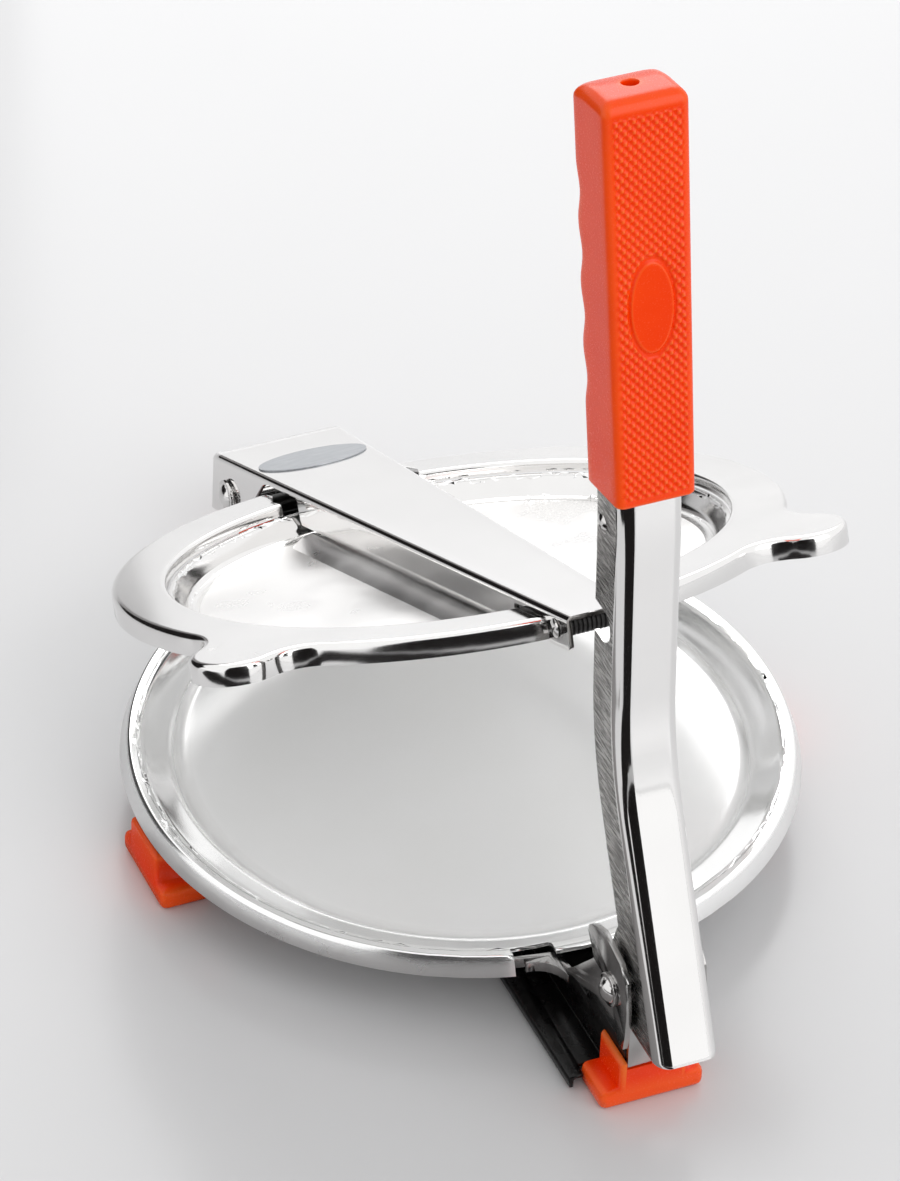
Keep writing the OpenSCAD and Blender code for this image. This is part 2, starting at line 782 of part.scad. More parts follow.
// ---- grip, drawn upright with its lower front edge at the origin
module grip_side() {
    // waves of equal arcs, bulge and hollow in turn
    p = wave_pitch;
    a = wave_depth;
    r = a / 4 + p * p / (16 * a);
    n = wave_count - 1;
    low = wave_from;
    difference() {
        union() {
            polygon([[0, 0], [0, grip_l - 3], [1.4, grip_l - 0.8], [4, grip_l],
                     [grip_depth - 5, grip_l], [grip_depth - 2, grip_l - 1.4],
                     [grip_depth, grip_l - 5], [grip_depth, low + n * p],
                     [grip_depth - a / 2, low + n * p], [grip_depth - a / 2, low],
                     [grip_depth, low], [grip_depth, 1.5], [grip_depth - 1, 0]]);
            for (i = [0:n]) intersection() {
                translate([grip_depth - r, low + i * p]) circle(r = r, $fn = 128);
                translate([grip_depth - 4, low + (i - 0.3) * p]) square([5, 0.6 * p]);
            }
        }
        for (i = [0:n - 1])
            translate([grip_depth - a + r, low + (i + 0.5) * p]) circle(r = r, $fn = 128);
    }
}

module grip_shape() {
    w0 = grip_low_w / 2;
    w1 = grip_top_w / 2;
    intersection() {
        across(-w1, w1) grip_side();
        translate([0, grip_depth + 5, 0]) rotate([90, 0, 0]) linear_extrude(grip_depth + 10)
            polygon([[-w0, 0], [w0, 0], [w1, grip_l - 3], [w1 - 0.9, grip_l - 0.8],
                     [w1 - 3, grip_l], [-w1 + 3, grip_l], [-w1 + 0.9, grip_l - 0.8],
                     [-w1, grip_l - 3]]);
    }
}

screw_depth = 5;
screw_l = 16;
screw_r = 1.1;

module in_grip() {
    placed() translate([0, grip_foot[0], grip_foot[1]]) rotate([-grip_tilt, 0, 0]) children();
}

module grip() {
    color(orange) in_grip() difference() {
        union() {
            grip_shape();
            // plain oval field on the front
            translate([0, 0.1, grip_l * 0.49]) rotate([90, 0, 0]) linear_extrude(0.5)
                polygon([for (i = [0:47]) [5.8 * cos(i * 7.5), 12.4 * sin(i * 7.5)]]);
        }
        // pocket for the channel
        translate([-lever_w / 2 - fit, grip_wall - fit, -1])
            cube([lever_w + 2 * fit, lever_d + 2 * fit, tang_l + 1.3]);
        translate([0, grip_depth * 0.48, grip_l - screw_depth])
            cylinder(r = 2 * screw_r, h = screw_depth + 1);
        translate([0, grip_depth * 0.48, grip_l - screw_depth - screw_l - 1])
            cylinder(r = screw_r, h = screw_l + 2);
    }
}

module grip_screw() {
    color(steel) in_grip() translate([0, grip_depth * 0.48, 0]) difference() {
        union() {
            translate([0, 0, grip_l - screw_depth]) cylinder(r = 2 * screw_r - 0.2, h = 2);
            translate([0, 0, grip_l - screw_depth - screw_l]) cylinder(r = screw_r, h = screw_l);
        }
        translate([-2.4, -0.4, grip_l - screw_depth + 1.2]) cube([4.8, 0.8, 2]);
        translate([-0.4, -2.4, grip_l - screw_depth + 1.2]) cube([0.8, 4.8, 2]);
    }
}

base_dish();
long_frame();
left_arm();
right_arm();
front_foot();
rear_foot();
left_foot();
right_foot();
pivot_bracket();
pivot_rivet();
pivot_washers();
hinge_bracket();
hinge_pin();
hinge_washers();
press_plate();
carrier_ring();
ring_spacer();
bridge_bar();
badge();
roller_axle();
roller();
lever_channel();
pivot_bush();
lever_washers();
grip();
tie_rivet();
grip_screw();
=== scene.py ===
import math

import bmesh
import bpy
import numpy as np
from mathutils import Matrix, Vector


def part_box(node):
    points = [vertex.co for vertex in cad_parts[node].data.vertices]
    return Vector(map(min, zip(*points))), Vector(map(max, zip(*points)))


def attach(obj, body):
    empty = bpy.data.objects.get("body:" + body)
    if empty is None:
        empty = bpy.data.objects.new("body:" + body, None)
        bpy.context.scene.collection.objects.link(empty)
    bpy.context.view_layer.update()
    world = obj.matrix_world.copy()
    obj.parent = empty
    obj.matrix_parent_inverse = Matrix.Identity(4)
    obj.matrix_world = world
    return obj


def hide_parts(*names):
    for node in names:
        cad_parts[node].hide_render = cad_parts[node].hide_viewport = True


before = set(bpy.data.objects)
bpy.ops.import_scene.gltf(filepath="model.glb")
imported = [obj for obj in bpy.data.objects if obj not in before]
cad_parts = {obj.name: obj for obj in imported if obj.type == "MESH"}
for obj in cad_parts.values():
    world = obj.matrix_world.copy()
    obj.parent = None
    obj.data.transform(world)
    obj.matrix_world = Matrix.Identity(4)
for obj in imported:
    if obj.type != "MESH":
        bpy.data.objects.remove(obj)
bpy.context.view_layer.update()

# ---- Studio
# A pale glossy table that fills the view, a white tent of light and two large soft lamps, behind and
# in front. Black and grey felt boards and mats stand where only the polished metal shows them.


def linear(code):
    """Six-figure sRGB colour as linear light: c / 12.92 below 0.04045, ((c + 0.055) / 1.055) ^ 2.4 above."""
    c = np.array([int(code[i:i + 2], 16) for i in (0, 2, 4)]) / 255
    return (*np.where(c <= 0.04045, c / 12.92, ((c + 0.055) / 1.055) ** 2.4), 1.0)


def add(tree, kind, put=None, stops=(), **settings):
    """Adds one shader node. `put` fills its inputs, each with a value or with another node's output, and
    `stops` are a colour ramp's, each as (place, linear colour). Noise scales are 1000 / grain in mm."""
    node = tree.nodes.new("ShaderNode" + kind)
    for key, value in settings.items():
        setattr(node, key, value)
    while len(stops) > 2 and len(node.color_ramp.elements) < len(stops):
        node.color_ramp.elements.new(0.5)
    for k, (stop_at, tone) in enumerate(stops):
        node.color_ramp.elements[k].position = stop_at
        node.color_ramp.elements[k].color = tone
    for key, value in (put or {}).items():
        if isinstance(value, bpy.types.NodeSocket):
            tree.links.new(value, node.inputs[key])
        else:
            node.inputs[key].default_value = value
    return node


def blank(name):
    """New material with nothing but its output: gives the material, its node tree and the surface input."""
    made = bpy.data.materials.new(name)
    made.use_nodes = True
    made.node_tree.nodes.clear()
    return made, made.node_tree, add(made.node_tree, "OutputMaterial").inputs["Surface"]


def card(name, corners, material, table=False):
    """Flat four-cornered board from its corners in metres, part of the studio and not of the press."""
    mesh = bpy.data.meshes.new(name)
    mesh.from_pydata(corners, [], [(0, 1, 2, 3)])
    board = bpy.data.objects.new(name, mesh)
    board.data.materials.append(material)
    bpy.context.scene.collection.objects.link(board)
    if not table:
        board.visible_camera = board.visible_diffuse = board.visible_shadow = False


# painted table top: pale grey lacquer with a soft gloss that shows the press faintly
lacquer, tree, surface = blank("pale_table_lacquer")
spot = add(tree, "TexCoord").outputs["Object"]
mottle = add(tree, "TexNoise", {"Vector": spot, "Scale": 9.0, "Detail": 3.0}).outputs["Fac"]
# the lacquer's tone is painted paler towards the back, grey up to y = -0.1 m and palest from y = 0.7 m:
# painted light, for light that falls off towards the front
away = add(tree, "SeparateXYZ", {0: spot}).outputs["Y"]
away = add(tree, "MapRange", {"Value": away, "From Min": -0.1, "From Max": 0.7}).outputs[0]
shaded = add(tree, "Math", {0: mottle, 1: 0.12}, operation="MULTIPLY").outputs[0]
shaded = add(tree, "Math", {0: shaded, 1: away}, operation="ADD").outputs[0]
tone = add(tree, "ValToRGB", {"Fac": shaded}, [(0.0, linear("D6D6D7")), (1.0, linear("EAEAEB"))])
paint = add(tree, "BsdfPrincipled", {"Base Color": tone.outputs[0], "Roughness": 0.22,
                                     "Specular IOR Level": 0.42})
tree.links.new(paint.outputs[0], surface)
card("table", [(-4, -4, 0), (4, -4, 0), (4, 4, 0), (-4, 4, 0)], lacquer, table=True)

# matt boards and mats for the dark lines in the polished steel


def felt_board(name, tone, one_sided=False):
    """Matt felt. A one-sided mat is clear from below, so that it leaves no edge in the table's own gloss."""
    made, tree, surface = blank(name)
    nap = add(tree, "BsdfDiffuse", {"Color": linear(tone)}).outputs[0]
    if one_sided:
        clear = add(tree, "BsdfTransparent").outputs[0]
        under = add(tree, "NewGeometry").outputs["Backfacing"]
        nap = add(tree, "MixShader", {0: under, 1: nap, 2: clear}).outputs[0]
    tree.links.new(nap, surface)
    return made


felt = felt_board("black_felt_board", "1E1C1C")
card("board_by_camera", [(-1.08, -1.00, 0.0), (0.24, -1.42, 0.0),
                         (0.24, -1.42, 1.55), (-1.08, -1.00, 1.55)], felt)
card("board_behind", [(-0.52, 0.24, 0.0), (-0.05, 0.50, 0.0),
                      (-0.05, 0.50, 0.30), (-0.52, 0.24, 0.30)], felt)
card("flag_by_grip", [(0.020, -0.25, 0.135), (0.085, -0.25, 0.135),
                      (0.085, -0.25, 0.265), (0.020, -0.25, 0.265)], felt)
grey_felt = felt_board("grey_felt_board", "8E8C8C")
card("grey_board_behind", [(-0.05, 0.50, 0.0), (0.07, 0.53, 0.0),
                           (0.07, 0.53, 0.30), (-0.05, 0.50, 0.30)], grey_felt)
black_mat = felt_board("black_mat", "1E1C1C", one_sided=True)
grey_shadow_mat = felt_board("grey_shadow_mat", "8E8C8C", one_sided=True)
MAT_Z = 0.0006  # just above the table, m
# the grey mat by the rim is painted shade: it stands for the table's shadow under the dish's rim, as the
# rim's band reflects it
for name, left, right, near, far, mat in (("mat_in_front", -0.32, 0.026, -0.66, -0.235, black_mat),
                                          ("mat_on_left", -1.50, -0.30, -0.75, 0.02, black_mat),
                                          ("shadow_mat_by_rim", -0.17, -0.02, -0.17, 0.03, grey_shadow_mat)):
    card(name, [(left, near, MAT_Z), (right, near, MAT_Z), (right, far, MAT_Z), (left, far, MAT_Z)], mat)

# the tent: light of strength 0.70 on the press, shown a little above white in the camera and in mirrors
world = bpy.data.worlds.new("white_tent")
bpy.context.scene.world = world
world.use_nodes = True
tree = world.node_tree
tree.nodes.clear()
path = add(tree, "LightPath")
mirror = add(tree, "Math", {0: path.outputs["Is Glossy Ray"], 1: path.outputs["Is Camera Ray"]},
             operation="MAXIMUM")
soft = add(tree, "Background", {"Color": (1, 1, 1, 1), "Strength": 0.70})
shown = add(tree, "Background", {"Color": (1, 1, 1, 1), "Strength": 1.05})
both = add(tree, "MixShader", {0: mirror.outputs[0], 1: soft.outputs[0], 2: shown.outputs[0]})
add(tree, "OutputWorld", {"Surface": both.outputs[0]})


def lamp(name, place, aim, size, power):
    """Square soft lamp at `place`, turned to `aim`, `size` across, all in metres, and `power` in watts."""
    data = bpy.data.lights.new(name, "AREA")
    data.shape, data.size, data.energy = "SQUARE", size, power
    made = bpy.data.objects.new(name, data)
    back = np.subtract(place, aim) / np.linalg.norm(np.subtract(place, aim))
    right = np.cross((0, 0, 1), back)
    right /= np.linalg.norm(right)
    made.matrix_world = Matrix(np.vstack([np.column_stack(
        [right, np.cross(back, right), back, place]), (0, 0, 0, 1)]).tolist())
    bpy.context.scene.collection.objects.link(made)


lamp("soft_box_behind", (0.55, 1.45, 1.0), (0, 0, 0.05), 1.1, 9.0)
lamp("soft_box_front", (0.66, -1.4, 1.15), (0, 0, 0.1), 1.6, 13)

# the camera stands 1.82 m off, 39 degrees above the table, a little left of the front, and its focal
# length is 7000 pixels of the 1181 that the picture is high
AZIMUTH, ELEVATION, ROLL = np.radians((-114.71618, 38.787258, 2.538862))
AWAY, LOOKS_AT = 1.820742, (0, 0.006682, 0.060)
eye = bpy.data.cameras.new("camera")
eye.sensor_width, eye.lens = 36.0, 7000 / 1181 * 36
eye.shift_x, eye.shift_y = -0.014127, 0.028366
camera = bpy.data.objects.new("camera", eye)
back = np.array((math.cos(ELEVATION) * math.cos(AZIMUTH), math.cos(ELEVATION) * math.sin(AZIMUTH),
                 math.sin(ELEVATION)))
level = np.array((-math.sin(AZIMUTH), math.cos(AZIMUTH), 0))
side = level * math.cos(ROLL) + np.cross(back, level) * math.sin(ROLL)
camera.matrix_world = Matrix(np.vstack([np.column_stack(
    [side, np.cross(back, side), back, LOOKS_AT + AWAY * back]), (0, 0, 0, 1)]).tolist())
bpy.context.scene.collection.objects.link(camera)
bpy.context.scene.camera = camera
bpy.context.scene.view_settings.view_transform = "Standard"

# ---- Base dish
# Pressed from 1 mm stainless sheet and polished: flat floor, sloping wall, rounded rim and a
# band turned down outside. The band is notched in front for the lever bracket.
SHUT = 24.8  # degrees that the press plate stands open
PIN = (119, 21)  # hinge pin behind the dish's centre and above the table, mm
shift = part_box("base_dish")[1].y * 1000 - 90


def placed(p):
    """Millimetres from the dish's centre to the frame in metres: y + shift, all / 1000."""
    return (np.asarray(p, float) + (0, shift, 0)) / 1000


def raised(p):
    """The same for parts drawn with the press shut, turned up about the pin by SHUT degrees, with c and s
    its cosine and sine: y' = c y + s z, z' = c z - s y."""
    p = np.asarray(p, float)
    c, s = math.cos(math.radians(SHUT)), math.sin(math.radians(SHUT))
    y, z = p[..., 1] - PIN[0], p[..., 2] - PIN[1]
    return placed(np.stack([p[..., 0], PIN[0] + c * y + s * z, PIN[1] + c * z - s * y], -1))


def soften(path, cut, steps=8, hold=0.25):
    """Rounds each inner corner P of a path in mm: from A, `cut` before it, to B, `cut` after it, the line
    becomes (1 - t)^2 A + 2 t (1 - t) P + t^2 B. One more point each side, `hold` off, keeps flats flat.
    A cut is at most 0.42 of the stretch that it lies on, so that two corners leave one a straight part."""
    p = np.array(path, float)
    run = np.diff(p, axis=0)
    far = np.linalg.norm(run, axis=1)
    run /= far[:, None]
    cut = np.minimum(np.broadcast_to(cut, len(p) - 2), np.minimum(far[:-1], far[1:]) * 0.42)[:, None]
    a, b = p[1:-1] - run[:-1] * cut, p[1:-1] + run[1:] * cut
    t = np.linspace(0, 1, steps)[None, :, None]
    bend = (1 - t) ** 2 * a[:, None] + 2 * t * (1 - t) * p[1:-1, None] + t * t * b[:, None]
    keep = np.minimum(hold, cut * 0.3)
    bend = np.concatenate([(a - run[:-1] * keep)[:, None], bend, (b + run[1:] * keep)[:, None]], 1)
    return np.vstack([p[:1], bend.reshape(-1, p.shape[1]), p[-1:]])


def lattice(name, co, keep=None, across=False, closed=False, flip=False):
    """Mesh through a grid of points co[row, column]; four neighbours make a face. `across` joins the last
    column to the first, `keep` says which faces stay, `flip` turns them over, and a `closed` form gets
    its faces turned outwards."""
    rows, columns = co.shape[:2]
    k = np.arange(rows * columns).reshape(rows, columns)
    k = np.hstack([k, k[:, :1]]) if across else k
    face = np.stack([k[:-1, :-1], k[:-1, 1:], k[1:, 1:], k[1:, :-1]], -1)
    face = (face if keep is None else face[keep]).reshape(-1, 4)
    mesh = bpy.data.meshes.new(name)
    mesh.from_pydata(co.reshape(-1, 3).tolist(), [], (face[:, ::-1] if flip else face).tolist())
    work = bmesh.new()
    work.from_mesh(mesh)
    bmesh.ops.remove_doubles(work, verts=work.verts, dist=2e-6)
    bmesh.ops.delete(work, geom=[v for v in work.verts if not v.link_faces], context="VERTS")
    if closed:
        bmesh.ops.recalc_face_normals(work, faces=work.faces)
    work.to_mesh(mesh)
    work.free()
    mesh.polygons.foreach_set("use_smooth", np.ones(len(mesh.polygons), bool))
    return mesh


def stand(name, mesh, materials, body, slot, *nodes):
    """Puts a finished mesh on its CAD body with its materials, in place of the CAD nodes named. `slot` is
    not used.
    """
    made = bpy.data.objects.new(name, mesh)
    bpy.context.scene.collection.objects.link(made)
    for material in materials:
        made.data.materials.append(material)
    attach(made, body)
    if nodes:
        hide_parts(*nodes)
    return made


def settle(made, angle=32):
    """Turns an object's modifiers into plain mesh and marks the edges that turn by over `angle` as sharp."""
    view = bpy.context.evaluated_depsgraph_get()
    mesh = bpy.data.meshes.new_from_object(made.evaluated_get(view))
    made.modifiers.clear()
    made.data = mesh
    mesh.polygons.foreach_set("use_smooth", np.ones(len(mesh.polygons), bool))
    mesh.set_sharp_from_angle(angle=math.radians(angle))
    return made


def sheet_metal(made, thick, edge=0.2, inner=0, cutter=None):
    """Gives a skin its sheet thickness, inwards, and takes the sharpness off its cut edges, both in mm.
    `inner` is how many materials further on the inner face takes its own; `cutter` is cut away."""
    wall = made.modifiers.new("thickness", "SOLIDIFY")
    wall.thickness, wall.offset, wall.material_offset = thick / 1000, -1, inner
    wall.use_quality_normals = True
    if cutter:
        punch = made.modifiers.new("slots", "BOOLEAN")
        punch.object, punch.operation, punch.solver = cutter, "DIFFERENCE", "EXACT"
    brow = made.modifiers.new("cut_edge", "BEVEL")
    brow.width, brow.segments, brow.limit_method = edge / 1000, 2, "ANGLE"
    brow.angle_limit, brow.harden_normals = math.radians(55), False
    settle(made)


def steel(name, tone, rough, wave, scratch=0.5, zones=(), pale="F6F5F4"):
    """Polished stainless steel, EN 1.4016: a mirror with faint waves of the pressed sheet about 22 mm long,
    `wave` mm high, and hair scratches 0.9 mm apart, which are drawn coarser than the real ones so that
    they show. A smear of 30 mm grain dulls it and shades it from `tone` to `pale`. `zones` gives the
    roughness by distance from the dish's axis in mm, for sheet that is mopped less there. Its middle also
    has less metal in it and shows more of its colour as diffuse: painted light, standing in for the light
    that bounces between the mirrors."""
    made, tree, surface = blank(name)
    spot = add(tree, "TexCoord").outputs["Object"]
    dents = add(tree, "TexNoise", {"Vector": spot, "Scale": 1000 / 22, "Detail": 1.0}).outputs["Fac"]
    hairs = add(tree, "TexNoise", {"Vector": spot, "Scale": 1000 / 0.9, "Detail": 4.0}).outputs["Fac"]
    smear = add(tree, "TexNoise", {"Vector": spot, "Scale": 1000 / 30, "Detail": 4.0}).outputs["Fac"]
    dull = add(tree, "MapRange", {"Value": smear, "From Min": 0.35, "From Max": 0.75,
                                  "To Min": rough * 0.75, "To Max": rough * 1.35}).outputs[0]
    wear_and_painted_highlight = add(tree, "MapRange", {"Value": hairs, "From Min": 0.55, "From Max": 0.8,
                                  "To Min": 0.0, "To Max": 0.05 * scratch}).outputs[0]
    if zones:
        flat = add(tree, "Mapping", {"Vector": spot, "Location": (0, -shift / 100, 0),
                                     "Scale": (10, 10, 0)}).outputs[0]
        away = add(tree, "VectorMath", {0: flat}, operation="LENGTH").outputs["Value"]
        mopped = add(tree, "ValToRGB", {"Fac": away}, [(r / 100, (v, v, v, 1)) for r, v in zones])
        spread = add(tree, "Math", {0: dull, 1: 1 / rough}, operation="MULTIPLY").outputs[0]
        dull = add(tree, "Math", {0: mopped.outputs[0], 1: spread}, operation="MULTIPLY").outputs[0]
    total = add(tree, "Math", {0: dull, 1: wear_and_painted_highlight}, operation="ADD").outputs[0]
    low = add(tree, "Bump", {"Height": dents, "Strength": 1.0, "Distance": wave / 1000}).outputs[0]
    fine = add(tree, "Bump", {"Height": hairs, "Normal": low, "Strength": 0.10 * scratch,
                              "Distance": 0.00004}).outputs[0]
    shade = add(tree, "ValToRGB", {"Fac": smear}, [(0.3, linear(tone)), (0.75, linear(pale))])
    body = add(tree, "BsdfPrincipled", {"Base Color": shade.outputs[0], "Metallic": 1.0,
                                        "Roughness": total, "Normal": fine})
    if zones:
        painted_bounce_light = add(tree, "ValToRGB", {"Fac": away},
                    [(0.71, (0.18, 0.18, 0.18, 1)), (0.78, (0.92, 0.92, 0.92, 1))])
        tree.links.new(painted_bounce_light.outputs[0], body.inputs["Metallic"])
    tree.links.new(body.outputs[0], surface)
    return made


mirror_steel = steel("mirror_polished_steel", "F1F0EF", 0.07, 0.008)

# profile from the middle of the floor outwards, [radius, height] in mm
profile = soften([(0, 17), (74, 17), (76.6, 17.8), (83.6, 21.5), (85.1, 22.4), (87.6, 22.4),
                  (88.3, 21.6), (90, 17)], (3, 3, 1.4, 1.0, 0.8, 0.7))
# the notch in front: a straight cut as far out as NOTCH_AT, and its sides at 11 and 22 mm from the middle
NOTCH_AT, NOTCH_IN, NOTCH_OUT = 82.26, 11, 22
NEAR_R = 80  # radius at which the columns are set out
# columns stand closer round the notch, with one on each of its sides
lean = np.array([0, 4, 8, NOTCH_IN, 14, 18, NOTCH_OUT, 25, 29, 34, 40])
lean = np.degrees(np.arcsin(lean / NEAR_R))
lean = np.concatenate([lean, np.linspace(30, 180, 151)[1:]])
lean = np.radians(np.concatenate([-lean[:0:-1], lean]))[1:]
# rows: a few on the floor, then one to each profile point, and between LOW_R and HIGH_R they bend to
# the notch's cut, with one row on it
LOW_R, HIGH_R = 81, 85.8
radius = profile[:, 0]
cut_at = NOTCH_AT / np.cos(np.minimum(np.abs(lean), math.radians(15.6)))
even = np.unique(np.round(np.concatenate([[0, 25, 50, 68], radius[radius > 70], [78, 80]]), 4))
even = even[(even < LOW_R) | (even > HIGH_R - 0.2)]
row = np.repeat(even[:, None], len(lean), 1)
low_rows = LOW_R + (cut_at[None] - LOW_R) * np.linspace(0, 1, 6)[:, None]
high_rows = cut_at[None] + (HIGH_R - cut_at[None]) * np.linspace(0, 1, 8)[1:, None]
last = int(np.searchsorted(even, LOW_R))
row = np.vstack([row[:last], low_rows, high_rows, row[last:]])
cut_row = last + len(low_rows) - 1
rim_row = int(np.argmin(np.abs(row[:, 0] - 88.3)))
# beside the notch each column keeps its distance from the middle line, further round it is radial
IN_FRONT = 1.2  # angle either side of the middle, in radians, that holds the notch
straight = np.clip((math.radians(36) - np.abs(lean)) / math.radians(12), 0, 1)
turn = np.arcsin(np.sin(np.clip(lean, -1.5, 1.5)) * (NEAR_R / np.maximum(row, NEAR_R)) ** straight)
turn = np.where(np.abs(lean) < IN_FRONT, turn, lean)
height = np.interp(row, profile[:, 0], profile[:, 1])
dish = np.stack([row * np.sin(turn), -row * np.cos(turn), height], -1)
# the faces that stay: `off` is each column's distance from the middle line, `middle` each face's
around = np.append(lean, lean[0])
off = np.where(np.abs(around) > IN_FRONT, 99, np.abs(NEAR_R * np.sin(around)))
middle = (off[:-1] + off[1:]) / 2
level = np.arange(len(row) - 1)[:, None]
stays = (((level < cut_row) | (middle > NOTCH_OUT) | (middle < NOTCH_IN))
         & ((level < rim_row) | (middle > NOTCH_OUT)))
# painted light: the dish's steel is toned pure white, paler than the other polished steel, and inside 71 mm
# its floor keeps little metal, so that it shows mostly white diffuse colour; both stand in for light that
# bounces between the floor and the plate
dish_steel = steel("dish_steel", "FFFFFF", 0.08, 0.006, pale="FDFDFC",
                   zones=[(0, 0.20), (72, 0.18), (76, 0.10), (87.6, 0.08), (88.8, 0.34)])
base_dish = stand("dish", lattice("dish", placed(dish), stays, across=True, flip=True),
                  [dish_steel], "base", "polished_steel", "base_dish")
sheet_metal(base_dish, 1.0)

# ---- Under-frame
# Folded from 1.2 mm steel sheet and painted with black enamel, which pools on the folds and shows
# a slight orange peel: a long hat section and two channels across it.


def eased(name, node, materials, body, slot, edge, segments=2, angle=32, outer=0):
    """Copy of a CAD node with its doubled points merged, its flat faces made whole and its edges
    rounded by `edge` mm; it takes the node's place. With `outer`, only the edges more than that many mm
    from the piece's middle are rounded, by edge * distance / 12.5 at most, so that pockets keep theirs."""
    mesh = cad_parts[node].data.copy()
    mesh.materials.clear()
    work = bmesh.new()
    work.from_mesh(mesh)
    bmesh.ops.remove_doubles(work, verts=work.verts, dist=2e-6)
    bmesh.ops.dissolve_limit(work, angle_limit=math.radians(0.6), verts=work.verts, edges=work.edges)
    work.verts.index_update()
    if outer:
        weight = work.edges.layers.float.new("bevel_weight_edge")
        co = np.array([v.co[:2] for v in work.verts]) * 1000
        far = np.abs(co - (co.min(0) + co.max(0)) / 2).max(1)
        for line in work.edges:
            off = min(far[v.index] for v in line.verts)
            stands = off > outer and line.is_convex and line.calc_face_angle(0) > 0.5
            line[weight] = min(1, off / 12.5) if stands else 0
    work.to_mesh(mesh)
    work.free()
    if mesh.has_custom_normals:
        mesh.attributes.remove(mesh.attributes["custom_normal"])
    made = stand(name, mesh, materials, body, slot, node)
    brow = made.modifiers.new("eased_edge", "BEVEL")
    brow.width, brow.segments = edge / 1000, segments
    brow.limit_method = "WEIGHT" if outer else "ANGLE"
    brow.angle_limit, brow.harden_normals = math.radians(28), True
    brow.miter_outer = "MITER_ARC"
    return settle(made, angle)


def enamel(name):
    """Black stoving enamel: IOR 1.5, gloss with an orange peel 1.5 mm across and dust in 6 mm patches."""
    made, tree, surface = blank(name)
    spot = add(tree, "TexCoord").outputs["Object"]
    peel = add(tree, "TexNoise", {"Vector": spot, "Scale": 1000 / 1.5, "Detail": 2.0}).outputs["Fac"]
    dust = add(tree, "TexNoise", {"Vector": spot, "Scale": 1000 / 6, "Detail": 6.0}).outputs["Fac"]
    tone = add(tree, "ValToRGB", {"Fac": dust}, [(0.5, linear("050404")), (0.8, linear("0E0C0C"))])
    rough = add(tree, "MapRange", {"Value": dust, "From Min": 0.4, "From Max": 0.8,
                                   "To Min": 0.24, "To Max": 0.42}).outputs[0]
    relief = add(tree, "Bump", {"Height": peel, "Strength": 0.25, "Distance": 0.00006}).outputs[0]
    body = add(tree, "BsdfPrincipled", {"Base Color": tone.outputs[0], "Roughness": rough,
                                        "Normal": relief, "Specular IOR Level": 0.35})
    tree.links.new(body.outputs[0], surface)
    return made


black_enamel = enamel("black_stoving_enamel")
for part in ("long_frame", "left_arm", "right_arm"):
    eased(part + "_folded", part, [black_enamel], "base", "black_paint", 0.45, 3)

# ---- Feet
# Four injection mouldings in orange polypropylene, each an inverted T that the end of the frame or of
# an arm slides into. Their outer edges are rounded and their skin is finely spark-eroded.


def orange_moulding(name, tone, deep, grain):
    """Moulded polypropylene: IOR 1.49, a little light under the skin, spark-eroded grain of `grain` mm,
    flow marks 14 mm long that shade it from `deep` to `tone`, and a painted highlight of paler orange on
    the crowns of convex edges."""
    made, tree, surface = blank(name)
    spot = add(tree, "TexCoord").outputs["Object"]
    skin = add(tree, "TexNoise", {"Vector": spot, "Scale": 1000 / grain, "Detail": 3.0}).outputs["Fac"]
    flow = add(tree, "TexNoise", {"Vector": spot, "Scale": 1000 / 14, "Detail": 3.0}).outputs["Fac"]
    shade = add(tree, "ValToRGB", {"Fac": flow}, [(0.3, linear(deep)), (0.7, linear(tone))])
    rough = add(tree, "MapRange", {"Value": skin, "From Min": 0.3, "From Max": 0.7,
                                   "To Min": 0.17, "To Max": 0.30}).outputs[0]
    relief = add(tree, "Bump", {"Height": skin, "Strength": 0.12, "Distance": 0.00005}).outputs[0]
    # painted highlight: the crowns of convex edges, found by their pointiness, are painted a paler orange
    crown = add(tree, "MapRange", {"Value": add(tree, "NewGeometry").outputs["Pointiness"],
                                   "From Min": 0.50, "From Max": 0.62}).outputs[0]
    wear_and_painted_highlight = add(tree, "Mix", {0: crown, 6: shade.outputs[0], 7: linear("FF7A30")}, data_type="RGBA")
    body = add(tree, "BsdfPrincipled", {"Base Color": wear_and_painted_highlight.outputs[2], "Roughness": rough, "Normal": relief,
                                        "Subsurface Weight": 0.05, "Subsurface Scale": 0.002,
                                        "Subsurface Radius": (1.0, 0.35, 0.15), "IOR": 1.49,
                                        "Specular IOR Level": 0.28})
    tree.links.new(body.outputs[0], surface)
    return made


foot_orange = orange_moulding("foot_polypropylene", "FF4002", "F83802", 0.5)
for part in ("front_foot", "rear_foot", "left_foot", "right_foot"):
    eased(part + "_moulded", part, [foot_orange], "base", "orange_plastic", 2.0, 4, outer=9)

# ---- Lever bracket
# Blanked and folded from 1.5 mm steel, polished and then plated. Its ears stand either side of the
# lever and its wings run under the dish's rim.
plated_steel = steel("bright_plated_steel", "CFCDCB", 0.14, 0.03, scratch=1.5)
# painted shade: the bracket's plating is toned far darker than the same plating on the fasteners, for the
# shade that it stands in
bracket_steel_painted_shade = steel("bracket_steel_painted_shade", "5C5A58", 0.20, 0.04, scratch=2.0)
eased("bracket_folded", "pivot_bracket", [bracket_steel_painted_shade], "base", "polished_steel", 0.35, 3)
eased("pivot_rivet_set", "pivot_rivet", [plated_steel], "base", "fastener_steel", 0.12)
eased("pivot_washers_set", "pivot_washers", [plated_steel], "base", "fastener_steel", 0.15)

